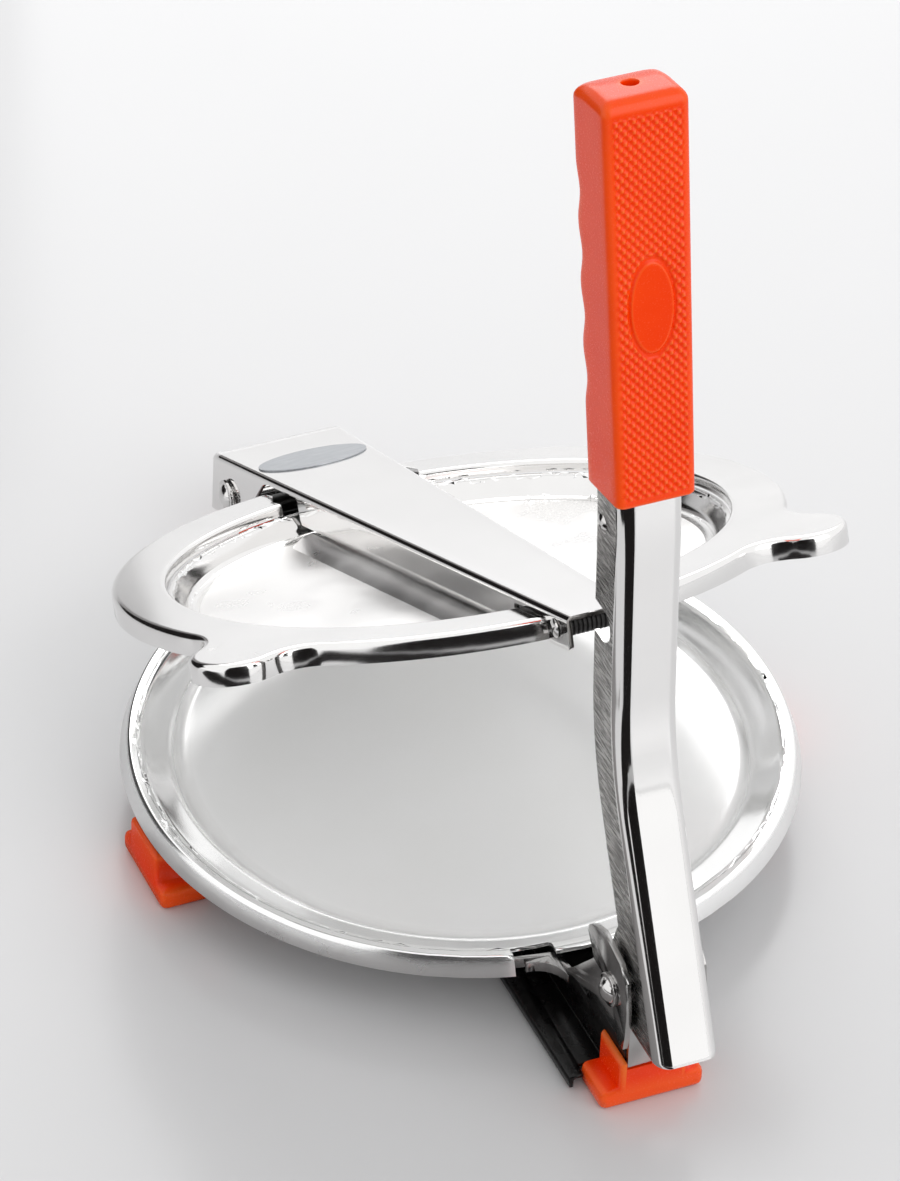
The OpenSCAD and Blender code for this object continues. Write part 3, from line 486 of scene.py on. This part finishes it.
# ---- Rear hinge
# A black folded saddle on the frame and a bright pin through it and the bar's cheeks, headed at
# both ends over washers.
eased("hinge_saddle", "hinge_bracket", [black_enamel], "base", "black_paint", 0.3)
eased("hinge_pin_set", "hinge_pin", [plated_steel], "base", "fastener_steel", 0.12)
eased("hinge_washers_set", "hinge_washers", [plated_steel], "base", "fastener_steel", 0.15)

# ---- Press plate
# A shallow pan of 1 mm stainless sheet with its lip rolled outwards against the ring's inner edge. Its
# floor is satin above and polished below, where it presses the dough.
turnings = np.linspace(0, 2 * math.pi, 385)[:-1]


def spun(profile):
    """Profile of [radius, height] turned about the Z axis: x = r sin a, y = -r cos a."""
    r, z = profile[:, :1], np.repeat(profile[:, 1:], len(turnings), 1)
    return np.stack([r * np.sin(turnings), -r * np.cos(turnings), z], -1)


# profile from the middle of the floor outwards, [radius, height] in mm with the press shut
FLOOR_Z, LIP_R = 19, 73.85
pan = soften([(0, FLOOR_Z), (67.6, FLOOR_Z), (69.8, 20.0), (71.9, 24.1), (72.4, 24.8), (LIP_R, 24.8),
              (LIP_R, 23.9)], (2, 1.2, 0.6, 0.4, 0.45))
floor_rows = np.column_stack([np.linspace(12, 60, 5), np.full(5, FLOOR_Z)])
pan = np.vstack([pan[:1], floor_rows, pan[1:]])
pan_mesh = lattice("pan", raised(spun(pan)), across=True, flip=True)
# the faces come row by row from the middle, and the satin ones end near the floor's edge
satin_rows = int(np.argmax(pan[:, 0] > 66.5)) - 1
satin = np.arange(len(pan_mesh.polygons)) < satin_rows * len(turnings)
pan_mesh.polygons.foreach_set("material_index", satin.astype(int))
satin_steel = steel("satin_plate_steel", "F6F5F4", 0.36, 0.001)
ring_steel = steel("ring_steel", "ECEBEA", 0.13, 0.008)
# painted light: the undersides of the pan and the ring are toned pure white, paler than the ring's top, so
# that they show brighter in the dish's floor
under_steel_painted_bright = steel("underside_steel_painted_bright", "FFFFFF", 0.07, 0.002, pale="FDFDFC")
press_plate = stand("pan", pan_mesh, [ring_steel, satin_steel, under_steel_painted_bright, under_steel_painted_bright],
                    "top", "polished_steel", "press_plate")
sheet_metal(press_plate, 0.95, inner=2)

# ---- Carrier ring
# Pressed from 1 mm stainless sheet: flat top, rounded edges, a deep skirt outside and a short one
# inside that holds the pan. Two ears grow out of it to lift it by. Polished like the dish.
RING_R, RING_IN, TOP_Z = 88.5, 74, 28.2  # outer edge, edge against the pan, top, mm
EAR, EAR_R, ROUND = 95.95, 11.5, 12  # centre of the ear's tip, its radius, radius of the hollows, mm
LEFT_AT, RIGHT_AT = math.radians(34), math.radians(40)
reach = RING_R + ROUND
meet = math.acos((reach ** 2 + EAR ** 2 - (EAR_R + ROUND) ** 2) / (2 * reach * EAR))
nook = reach * np.array((math.cos(meet), math.sin(meet)))
swing = math.atan2(nook[1], nook[0] - EAR)
# half of one ear about its own line: tip, flank, hollow, in [along, across, normal angle]
tip = np.linspace(0, swing, 22)
flank = np.column_stack([EAR + EAR_R * np.cos(tip), EAR_R * np.sin(tip), tip])
hollow = np.linspace(swing, meet, 16)[1:]
hollow = np.column_stack([nook[0] - ROUND * np.cos(hollow), nook[1] - ROUND * np.sin(hollow), hollow])
half_ear = np.vstack([flank, hollow])
ear = np.vstack([half_ear[:0:-1] * (1, -1, -1), half_ear])


def turned(line, angle):
    """Outline points [x, y, normal angle] turned about the ring's centre."""
    c, s = math.cos(angle), math.sin(angle)
    return np.column_stack([line[:, 0] * c - line[:, 1] * s, line[:, 0] * s + line[:, 1] * c,
                            line[:, 2] + angle])


def arc(start, end, count):
    """Stretch of the ring's own outer edge between two angles: RING_R (cos a, sin a)."""
    a = np.linspace(start, end, count)
    return np.column_stack([RING_R * np.cos(a), RING_R * np.sin(a), a])


# the ring is open behind, as far as 20 mm from the middle line on both sides
slot_edge = math.acos(20.0 / RING_R)
right_ear, left_ear = turned(ear, 2 * math.pi - RIGHT_AT), turned(ear, math.pi + LEFT_AT)
outline = np.vstack([arc(math.pi - slot_edge, math.pi + LEFT_AT - meet, 80), left_ear[1:-1],
                     arc(math.pi + LEFT_AT + meet, 2 * math.pi - RIGHT_AT - meet, 96), right_ear[1:-1],
                     arc(2 * math.pi - RIGHT_AT + meet, 2 * math.pi + slot_edge, 80)])
bearing = np.unwrap(np.arctan2(outline[:, 1], outline[:, 0]))
# the inner edge follows the outer one radially, and squares up to the cut beside the bar
from_back = bearing - math.pi / 2
from_back = (from_back + math.pi) % (2 * math.pi) - math.pi
square = np.clip((math.radians(38) - np.abs(from_back)) / math.radians(20), 0, 1)
inside = np.arcsin(np.clip(np.sin(np.clip(from_back, -1.5, 1.5)) * (RING_R / RING_IN) ** square, -1, 1))
inside = np.where(np.abs(from_back) < 1.2, inside, from_back)
inward = np.stack([-np.sin(inside), np.cos(inside)], -1)
outward = np.stack([np.cos(outline[:, 2]), np.sin(outline[:, 2])], -1)
# section in two parts: the wall as [distance out from the pan, height], the top and skirt as
# [distance in from the outer edge, height]
wall = soften([(0, 25.0), (0.05, TOP_Z), (4.0, TOP_Z)], 1.5, 9)
skirt = soften([(5.0, TOP_Z), (0, TOP_Z), (0, 22.5)], 1.7, 10)
rim = RING_IN * inward[None] + inward[None] * wall[:, None, :1]
edge = outline[None, :, :2] - outward[None] * skirt[:, None, :1]
mid = rim[-1] + (edge[0] - rim[-1]) * np.linspace(0, 1, 4)[1:-1, None, None]
flat = np.concatenate([rim, mid, edge])
tall = np.concatenate([wall[:, 1], [TOP_Z, TOP_Z], skirt[:, 1]])
ring = np.concatenate([flat, np.broadcast_to(tall[:, None, None], flat.shape[:2] + (1,))], -1)
carrier_ring = stand("ring", lattice("ring", raised(ring), flip=True),
                     [ring_steel, under_steel_painted_bright], "top", "polished_steel", "carrier_ring")
sheet_metal(carrier_ring, 1.0, inner=1)
eased("spacer", "ring_spacer", [plated_steel], "top", "polished_steel", 0.3)

# ---- Bar
# A tapered channel of 1.2 mm stainless sheet folded over the pan. Its flanges end in beads that lie
# on the pan, are cut away over the ring and widen into the cheeks of the rear hinge.
REAR, FRONT = 127.5, -102.5


def half_width(y):
    """The bar tapers evenly from 38 mm across at the back to 18 mm in front."""
    return 19 - 10 * (REAR - y) / (REAR - FRONT)


# lower edge of the flange, [y, height]: FOOT_Z on the pan, cut up over the ring on slightly slanting
# lines in front and behind, and down round the hinge
BAR_Z, FOOT_Z = 31.3, 22.3
lower = soften([(FRONT, 26.5), (FRONT + 0.25, FOOT_Z), (-90.5, FOOT_Z), (-90.1, 28.8), (-71.1, 28.8),
                (-70.6, FOOT_Z), (68.0, FOOT_Z), (68.6, 29.6), (89.6, 29.6), (92.6, 28.8), (97, 25.8),
                (104, 20.6), (112, 17.6), (126.5, 14.4), (134, 14.8)],
               (1.6, 0.8, 0.8, 0.8, 0.8, 0.8, 1.2, 1.2, 1.5, 1.5, 3, 3, 3), 6)
lower = lower[np.argsort(lower[:, 0], kind="stable")]
# the place on the top edge that each point hangs from
spread = np.interp(lower[:, 0], [FRONT, 104, 134], [FRONT, 104, REAR])
corner = np.linspace(0, math.pi / 2, 9)
R = 1.7  # radius of the fold between the top and a flange
drop = np.linspace(0, 1, 7)
hang = BAR_Z - R
down_z = hang + (lower[:, 1] - hang) * drop[:, None]
down_y = spread + (lower[:, 0] - spread) * drop[:, None]
top_y = np.repeat(spread[None], len(corner), 0)
half = half_width(spread)
bend_x = half - R + R * np.sin(corner[:, None])
bend_z = np.repeat((BAR_Z - R + R * np.cos(corner))[:, None], len(spread), 1)
right_x = np.vstack([bend_x, half_width(down_y[1:])])
right_y = np.vstack([top_y, down_y[1:]])
right_z = np.vstack([bend_z, down_z[1:]])
right = np.stack([right_x, right_y, right_z], -1)
middle_x = (half - R)[None] * np.linspace(-1, 1, 7)[1:-1, None]
middle_top = np.stack([middle_x, np.repeat(spread[None], 5, 0), np.full_like(middle_x, BAR_Z)], -1)
bar = np.concatenate([right[::-1] * (-1, 1, 1), middle_top, right])
bridge_bar = stand("bar", lattice("bar", raised(bar), flip=True), [mirror_steel], "top", "polished_steel",
                   "bridge_bar")
sheet_metal(bridge_bar, 1.2)

# beads along the foot of each flange: with s from 0 at the flange to 1 at the bead's edge, the height is
# BEAD_H (1 - s^2) on the pan's floor, and a round nose n = sqrt(1 - (e / NOSE)^2) ends it
BEAD_W, BEAD_H, NOSE = 7, 2.7, 5
STRAIGHT_TO = 122  # where the bead's rear nose starts, mm along it
quarter_turn = np.linspace(0, math.pi / 2, 10)
lengthwise = np.concatenate([NOSE - NOSE * np.cos(quarter_turn), np.linspace(9, 118, 12),
                             STRAIGHT_TO + NOSE * np.sin(quarter_turn)])
into_nose = np.maximum(np.maximum(NOSE - lengthwise, lengthwise - STRAIGHT_TO), 0)
nose = np.sqrt(np.clip(1 - (into_nose / NOSE) ** 2, 0, 1))
share = np.linspace(0, 1, 12)[:, None]
bead_x = BEAD_W * share * (0.35 + 0.65 * nose)
bead_z = FLOOR_Z + BEAD_H * (1 - share ** 2) * nose ** 0.6
taper = math.atan(10 / (REAR - FRONT))
along_y = FRONT + 38.5 + lengthwise
for turn_side, label in ((1, "right"), (-1, "left")):
    x = half_width(along_y) - 0.3 + bead_x * math.cos(taper)
    y = along_y - bead_x * math.sin(taper)
    shape = np.stack([turn_side * x, y, bead_z], -1)
    stand("bar_bead_" + label, lattice("bead", raised(shape), flip=turn_side > 0),
          [satin_steel], "top", "polished_steel")

# ---- Badge
# A thin oval of satin aluminium foil under a clear coat, stuck on the bar near the hinge. It is a
# plain field with soft edges.


def foil(name):
    """Satin aluminium foil: fine lengthwise grain about 0.4 mm apart under a clear coat."""
    made, tree, surface = blank(name)
    spot = add(tree, "TexCoord").outputs["Object"]
    drawn = add(tree, "Mapping", {"Vector": spot, "Scale": (0.08, 1, 1)}).outputs[0]
    grain = add(tree, "TexNoise", {"Vector": drawn, "Scale": 1000 / 0.4, "Detail": 3.0}).outputs["Fac"]
    tone = add(tree, "ValToRGB", {"Fac": grain}, [(0.3, linear("9FA3A8")), (0.7, linear("B4B7BB"))])
    body = add(tree, "BsdfPrincipled", {"Base Color": tone.outputs[0], "Metallic": 0.55,
                                        "Roughness": 0.42, "Coat Weight": 0.4, "Coat Roughness": 0.12})
    tree.links.new(body.outputs[0], surface)
    return made


eased("badge_foil", "badge", [foil("satin_foil")], "top", "badge_film", 0.12)

# ---- Roller
# A ribbed sleeve of moulded black rubber on a steel axle that crosses the bar's front end. The sleeve
# turns on the axle, between the bar's flanges.


def rubber(name):
    """Moulded nitrile rubber: IOR 1.52, dull, with a fine bloom about 0.8 mm in grain."""
    made, tree, surface = blank(name)
    spot = add(tree, "TexCoord").outputs["Object"]
    bloom = add(tree, "TexNoise", {"Vector": spot, "Scale": 1000 / 0.8, "Detail": 4.0}).outputs["Fac"]
    tone = add(tree, "ValToRGB", {"Fac": bloom}, [(0.35, linear("171515")), (0.75, linear("2B2827"))])
    relief = add(tree, "Bump", {"Height": bloom, "Strength": 0.3, "Distance": 0.00004}).outputs[0]
    body = add(tree, "BsdfPrincipled", {"Base Color": tone.outputs[0], "Roughness": 0.5,
                                        "Normal": relief})
    tree.links.new(body.outputs[0], surface)
    return made


eased("roller_sleeve", "roller", [rubber("black_rubber")], "roller", "black_rubber", 0.1)
eased("roller_axle_set", "roller_axle", [plated_steel], "top", "fastener_steel", 0.1)

# ---- Lever
# A channel of 1.2 mm stainless sheet, bent twice along its length, with round corners, lobes round
# the pivot and slots that the roller parks in. Polished outside, left with drawing marks inside.
LEVER_W, LEVER_D, LEVER_T, CORNER = 17, 14.5, 1.2, 4  # across, deep, sheet, corner radius, mm
TOE_Y, TOE_Z = -144.4, 28.3  # lower end of the web
PIVOT_Y, PIVOT_Z, LOBE = -119.5, 36.2, 9.2
PARK = PIVOT_Z + 99.4  # height of the slots that the roller parks in
# the web's line: straight stretches leaning 25.4, 3.5 and 10.4 degrees with bends of 85 and 120 mm
# radius between them, walked in steps of 0.05 mm: dy = sin a, dz = cos a
LOW, MIDDLE, HIGH = np.radians((25.4, 3.5, 10.4))
leans = np.array([LOW, LOW, MIDDLE, MIDDLE, HIGH, HIGH])
joints = np.cumsum([0, 65, 85 * (LOW - MIDDLE), 44, 120 * (HIGH - MIDDLE), 77])
STEP = 0.05
steps = np.arange(0, joints[-1] + STEP / 2, STEP)
tilt = np.interp(steps, joints, leans)
walk = np.cumsum(np.column_stack([np.sin(tilt), np.cos(tilt)])[:-1] * STEP, 0)
walk = np.concatenate([[(0, 0)], walk])
front_y, front_z = TOE_Y + walk[:, 0], TOE_Z + walk[:, 1]
bottom_turn = np.concatenate([np.linspace(0, 40, 41), np.linspace(41, 60, 8)])
stops = np.unique(np.concatenate([bottom_turn, np.linspace(joints[1] - 3, joints[2] + 3, 30),
                                  np.linspace(60, joints[-1], 40)]))
path_y, path_z = np.interp(stops, steps, front_y), np.interp(stops, steps, front_z)
path_a = np.interp(stops, steps, tilt)
# the lower arm is cut level, so its sections lie level too: shear k = tan(a), fading above the lobes
level_cut = np.tan(path_a) * np.clip((62 - stops) / 14, 0, 1)
toward = np.stack([np.cos(path_a) + level_cut * np.sin(path_a),
                   -np.sin(path_a) + level_cut * np.cos(path_a)], -1)
long_way = np.linalg.norm(toward, axis=1)
# where the flange ends behind, as a distance along the section
LOBE_TOP, BLEND_TOP = 37.5, PIVOT_Z + 17  # the lobe is round up to the one and blends in to the other
round_lobe = PIVOT_Y + np.sqrt(np.clip(LOBE ** 2 - (path_z - PIVOT_Z) ** 2, 0, None))
free = TOE_Y + LEVER_D / math.cos(LOW) + (path_z - TOE_Z) * math.tan(LOW)
slope = np.interp(path_z, [LOBE_TOP, BLEND_TOP], [-110.4, np.interp(BLEND_TOP, path_z, free) + 0.6])
lobed = np.where(path_z < LOBE_TOP, round_lobe, np.maximum(slope, free))
lobed = np.where(path_z < BLEND_TOP, lobed, free)
deep = np.maximum(np.where(stops < 50, (lobed - path_y) / long_way, LEVER_D), LEVER_D)
# right half of the section: web, round corner, flange, as [x, depth] with the flange stretched
bow = np.linspace(0, math.pi / 2, 12)
web_x = np.array([0, 0.4, 0.8, 1.0]) * (LEVER_W / 2 - CORNER)
bend_x = LEVER_W / 2 - CORNER + CORNER * np.sin(bow)
bend_d = CORNER - CORNER * np.cos(bow)
flange = np.linspace(0, 1, 14)[1:]
section_x = np.concatenate([web_x[:-1], bend_x, np.full(len(flange), LEVER_W / 2)])
section_d = np.concatenate([np.zeros(len(web_x) - 1), bend_d, np.full(len(flange), CORNER)])
stretch = np.concatenate([np.zeros(len(web_x) - 1 + len(bow)), flange])
depth = section_d[:, None] + stretch[:, None] * (deep - CORNER)[None]
lever_y = path_y[None] + depth * toward[:, 0]
lever_z = path_z[None] + depth * toward[:, 1]
# the lobes hang 1.3 mm below the level cut, round the pivot
under = PIVOT_Z - np.sqrt(np.clip(LOBE ** 2 - (lever_y - PIVOT_Y) ** 2, 0, None))
sag = np.clip(TOE_Z - under, 0, None) * (np.abs(lever_y - PIVOT_Y) < LOBE)
lever_z = lever_z - sag * np.clip(1 - stops / 6, 0, 1)[None]
half_lever = np.stack([np.repeat(section_x[:, None], len(stops), 1), lever_y, lever_z], -1)
lever = np.concatenate([half_lever[:0:-1] * (-1, 1, 1), half_lever])


def drawn_steel(name, dark, pale, dull):
    """Unpolished steel: drawing marks across the channel 0.7 mm apart, coarser than the real ones so that
    they show, shaded from `dark` to `pale`, with a roughness of about `dull`."""
    made, tree, surface = blank(name)
    spot = add(tree, "TexCoord").outputs["Object"]
    marks = add(tree, "Mapping", {"Vector": spot, "Scale": (0.5, 0.12, 1)}).outputs[0]
    line = add(tree, "TexNoise", {"Vector": marks, "Scale": 1000 / 0.7, "Detail": 6.0,
                                  "Roughness": 0.65}).outputs["Fac"]
    tone = add(tree, "ValToRGB", {"Fac": line}, [(0.38, linear(dark)), (0.62, linear(pale))])
    rough = add(tree, "MapRange", {"Value": line, "To Min": dull - 0.12, "To Max": dull + 0.12}).outputs[0]
    relief = add(tree, "Bump", {"Height": line, "Strength": 0.6, "Distance": 0.0002}).outputs[0]
    body = add(tree, "BsdfPrincipled", {"Base Color": tone.outputs[0], "Metallic": 1.0,
                                        "Roughness": rough, "Normal": relief})
    tree.links.new(body.outputs[0], surface)
    return made


inside_steel = drawn_steel("drawn_steel_inside", "4B4846", "B9B7B5", 0.35)
# painted shade: the flanges' steel is toned darker, for the darkness under the grip that they reflect
flange_steel_painted_shade = drawn_steel("drawn_steel_flange_painted_shade", "5A5755", "CFCDCB", 0.26)
skin = lattice("lever", placed(lever), flip=True)
# the mop reaches the web and the corners but not the flanges
outside = np.empty(len(skin.vertices) * 3)
skin.vertices.foreach_get("co", outside)
corners_of = np.empty(len(skin.loops), int)
skin.loops.foreach_get("vertex_index", corners_of)
sides = np.abs(outside[::3][corners_of].reshape(-1, 4)).min(1) > (LEVER_W / 2 - 0.01) / 1000
skin.polygons.foreach_set("material_index", np.where(sides, 1, 0))
lever_channel = stand("lever", skin, [mirror_steel, flange_steel_painted_shade, inside_steel, inside_steel],
                      "lever", "polished_steel", "lever_channel")
# a slot with a round end in each free edge, for the roller, 9 mm deep
SLOT_R = 4.6
edge_y = np.interp(joints[3], steps, front_y) + LEVER_D - 1.6
half_turn = np.linspace(math.pi / 2, 3 * math.pi / 2, 25)
slot = np.column_stack([edge_y - 4.4 + SLOT_R * np.cos(half_turn), PARK + SLOT_R * np.sin(half_turn)])
slot = np.vstack([slot, [(edge_y + 12, PARK - SLOT_R), (edge_y + 12, PARK + SLOT_R)]])
count = len(slot)
tool = bpy.data.meshes.new("slot_tool")
tool.from_pydata(placed(np.vstack([np.insert(slot, 0, x, 1) for x in (-20, 20)])).tolist(), [],
                 [list(range(count)), list(range(count, 2 * count))]
                 + [(i, (i + 1) % count, count + (i + 1) % count, count + i) for i in range(count)])
tool_solid = bmesh.new()
tool_solid.from_mesh(tool)
bmesh.ops.recalc_face_normals(tool_solid, faces=tool_solid.faces)
tool_solid.to_mesh(tool)
tool_solid.free()
cutter = bpy.data.objects.new("slot_tool", tool)
bpy.context.scene.collection.objects.link(cutter)
sheet_metal(lever_channel, LEVER_T, inner=2, cutter=cutter)
bpy.data.objects.remove(cutter)
eased("tie_rivet_set", "tie_rivet", [plated_steel], "lever", "fastener_steel", 0.1)
eased("pivot_bush_set", "pivot_bush", [plated_steel], "lever", "fastener_steel", 0.1)
eased("lever_washers_set", "lever_washers", [plated_steel], "lever", "fastener_steel", 0.15)

# ---- Grip
# One orange moulding pressed on the lever's top: finger waves behind, a diamond knurl in front with
# a plain border and a plain oval field, and a screw hole in the top.
GRIP_L, TOP_W, LOW_W, DEEP, GRIP_TILT = 106.8, 22.4, 20.8, 20, HIGH
tang = np.interp(joints[4], steps, front_y), np.interp(joints[4], steps, front_z)
foot = tang[0] - 2.1 * math.cos(GRIP_TILT), tang[1] + 2.1 * math.sin(GRIP_TILT)


def in_grip(p):
    """[x, depth behind the front, height] in the grip to the frame: leaned back by the grip's tilt."""
    c, s = math.cos(GRIP_TILT), math.sin(GRIP_TILT)
    return placed(np.stack([p[..., 0], foot[0] + c * p[..., 1] + s * p[..., 2],
                            foot[1] - s * p[..., 1] + c * p[..., 2]], -1))


EDGE_F, EDGE_B, CROWN = 2.0, 3.4, 3.3  # radii of the front edges, the rear edges and the top's edge
front_t = np.linspace(-1, 1, 62)
quarter = np.linspace(0, math.pi / 2, 7)[1:]
side_q = np.linspace(0, 1, 9)[1:]
back_t = np.linspace(1, -1, 14)[1:]
heights = np.concatenate([[0.0, 0.3], np.linspace(0.8, GRIP_L - CROWN, 345),
                          GRIP_L - CROWN + CROWN * np.sin(quarter)])
inset = np.interp(heights, [0, 0.3, 0.8, GRIP_L], [0.8, 0.3, 0, 0])
over = np.clip((heights - (GRIP_L - CROWN)) / CROWN, 0, 1)
inset = inset + CROWN * (1 - np.sqrt(1 - over ** 2))
wide = LOW_W / 2 + (TOP_W - LOW_W) / 2 * np.minimum(heights / (GRIP_L - 3), 1) - inset
# four finger waves behind, each WAVE mm long and 1.6 mm deep: 0.8 (1 - cos(2 pi h / WAVE))
WAVE, WAVES_AT = 16.4, 21
waving = (heights > WAVES_AT) & (heights < WAVES_AT + 4 * WAVE)
wavy = np.where(waving, 0.8 * (1 - np.cos(2 * math.pi * (heights - WAVES_AT) / WAVE)), 0)
rear = DEEP - wavy - inset
rf, rb = [np.maximum(edge_r - inset * 0.3, 0.4)[:, None] for edge_r in (EDGE_F, EDGE_B)]
wide, rear, fore, h = wide[:, None], rear[:, None], inset[:, None], heights[:, None]
# once round the section: front, corner, side, rear corner, back, and the same again mirrored
front_x = front_t * (wide - rf)
front_d = fore + 0 * front_x
turn_x = wide - rf + rf * np.sin(quarter)
turn_d = fore + rf - rf * np.cos(quarter)
side_x = wide + 0 * side_q
side_d = fore + rf + side_q * (rear - rb - fore - rf)
curl_x = wide - rb + rb * np.cos(quarter)
curl_d = rear - rb + rb * np.sin(quarter)
back_x = back_t * (wide - rb)
back_d = rear + 0 * back_x
ring_x = np.hstack([front_x, turn_x, side_x, curl_x, back_x, -curl_x[:, ::-1][:, 1:],
                    -side_x[:, ::-1], -side_x[:, :1], -turn_x[:, ::-1][:, 1:]])
ring_d = np.hstack([front_d, turn_d, side_d, curl_d, back_d, curl_d[:, ::-1][:, 1:],
                    side_d[:, ::-1], side_d[:, :1] * 0 + fore + rf, turn_d[:, ::-1][:, 1:]])
# knurl: two waves crossing, (cos(2 pi (u x + v h)) + cos(2 pi (u x - v h))) / 4 + 0.5, which puts bumps
# 1 / u = 2.31 mm apart across and 1 / v = 2.63 mm up, inside the border
ACROSS, UPWARDS = 0.433, 0.38
bumps = (np.cos(2 * math.pi * (ACROSS * front_x + UPWARDS * h))
         + np.cos(2 * math.pi * (ACROSS * front_x - UPWARDS * h))) / 4 + 0.5
border = np.clip((wide - 2.0 - np.abs(front_x)) / 0.5, 0, 1) * np.clip((h - 2.2) / 0.5, 0, 1)
border = border * np.clip((GRIP_L - 4.2 - h) / 0.5, 0, 1)
# the oval field and the moat round it: full inside, gone within 0.06 of the oval's own measure
oval = np.sqrt((front_x / 5.8) ** 2 + ((h - 0.49 * GRIP_L) / 12.4) ** 2)
plain_field = np.clip((1.0 - oval) / 0.06, 0, 1)
moat = np.clip((1.12 - oval) / 0.06, 0, 1)
relief = -0.5 * border + 1.0 * bumps * border * (1 - moat) + 0.65 * plain_field * border
ring_d[:, :len(front_t)] -= relief
shell = np.stack([ring_x, ring_d, h + 0 * ring_x], -1)
# the top closes on the screw's recess, and the bottom is closed flat
centre = np.array((0, 9.6))
away = shell[-1, :, :2] - centre
mouth = centre + 2.3 * away / np.linalg.norm(away, axis=1, keepdims=True)
inwards = np.array([0.12, 0.5, 0.85, 1.0])[:, None, None]
cap = shell[-1, None, :, :2] * (1 - inwards) + mouth[None] * inwards
cap = np.concatenate([cap, np.full(cap.shape[:2] + (1,), GRIP_L)], -1)
well = np.concatenate([centre + (mouth - centre) * k for k in (0.93, 0.9, 0.9, 0.0)]).reshape(4, -1, 2)
well_z = np.array([GRIP_L - 0.25, GRIP_L - 0.8, GRIP_L - 4.9, GRIP_L - 4.9])[:, None, None]
well = np.concatenate([well, np.broadcast_to(well_z, well.shape[:2] + (1,))], -1)
under_cap = np.concatenate([shell[:1, :, :2] * k + centre * (1 - k) for k in (0.0, 0.6)])
under_cap = np.concatenate([under_cap, np.zeros(under_cap.shape[:2] + (1,))], -1)
grip = np.concatenate([under_cap, shell, cap, well])
# the top rounds down behind the hole: 2.6 u^2 with u from the hole to the back
droop = np.clip((grip[..., 1] - 9) / 11, 0, 1) ** 2 * np.clip((grip[..., 2] - GRIP_L + 12) / 12, 0, 1)
grip[..., 2] -= 2.6 * droop
grip_orange = orange_moulding("grip_polypropylene", "FF4500", "FA3E00", 0.45)
made = stand("grip_moulded", lattice("grip", in_grip(grip), across=True, closed=True),
             [grip_orange], "lever", "grip_plastic", "grip")
made.data.set_sharp_from_angle(angle=math.radians(50))
eased("grip_screw_set", "grip_screw", [plated_steel], "lever", "fastener_steel", 0.08)
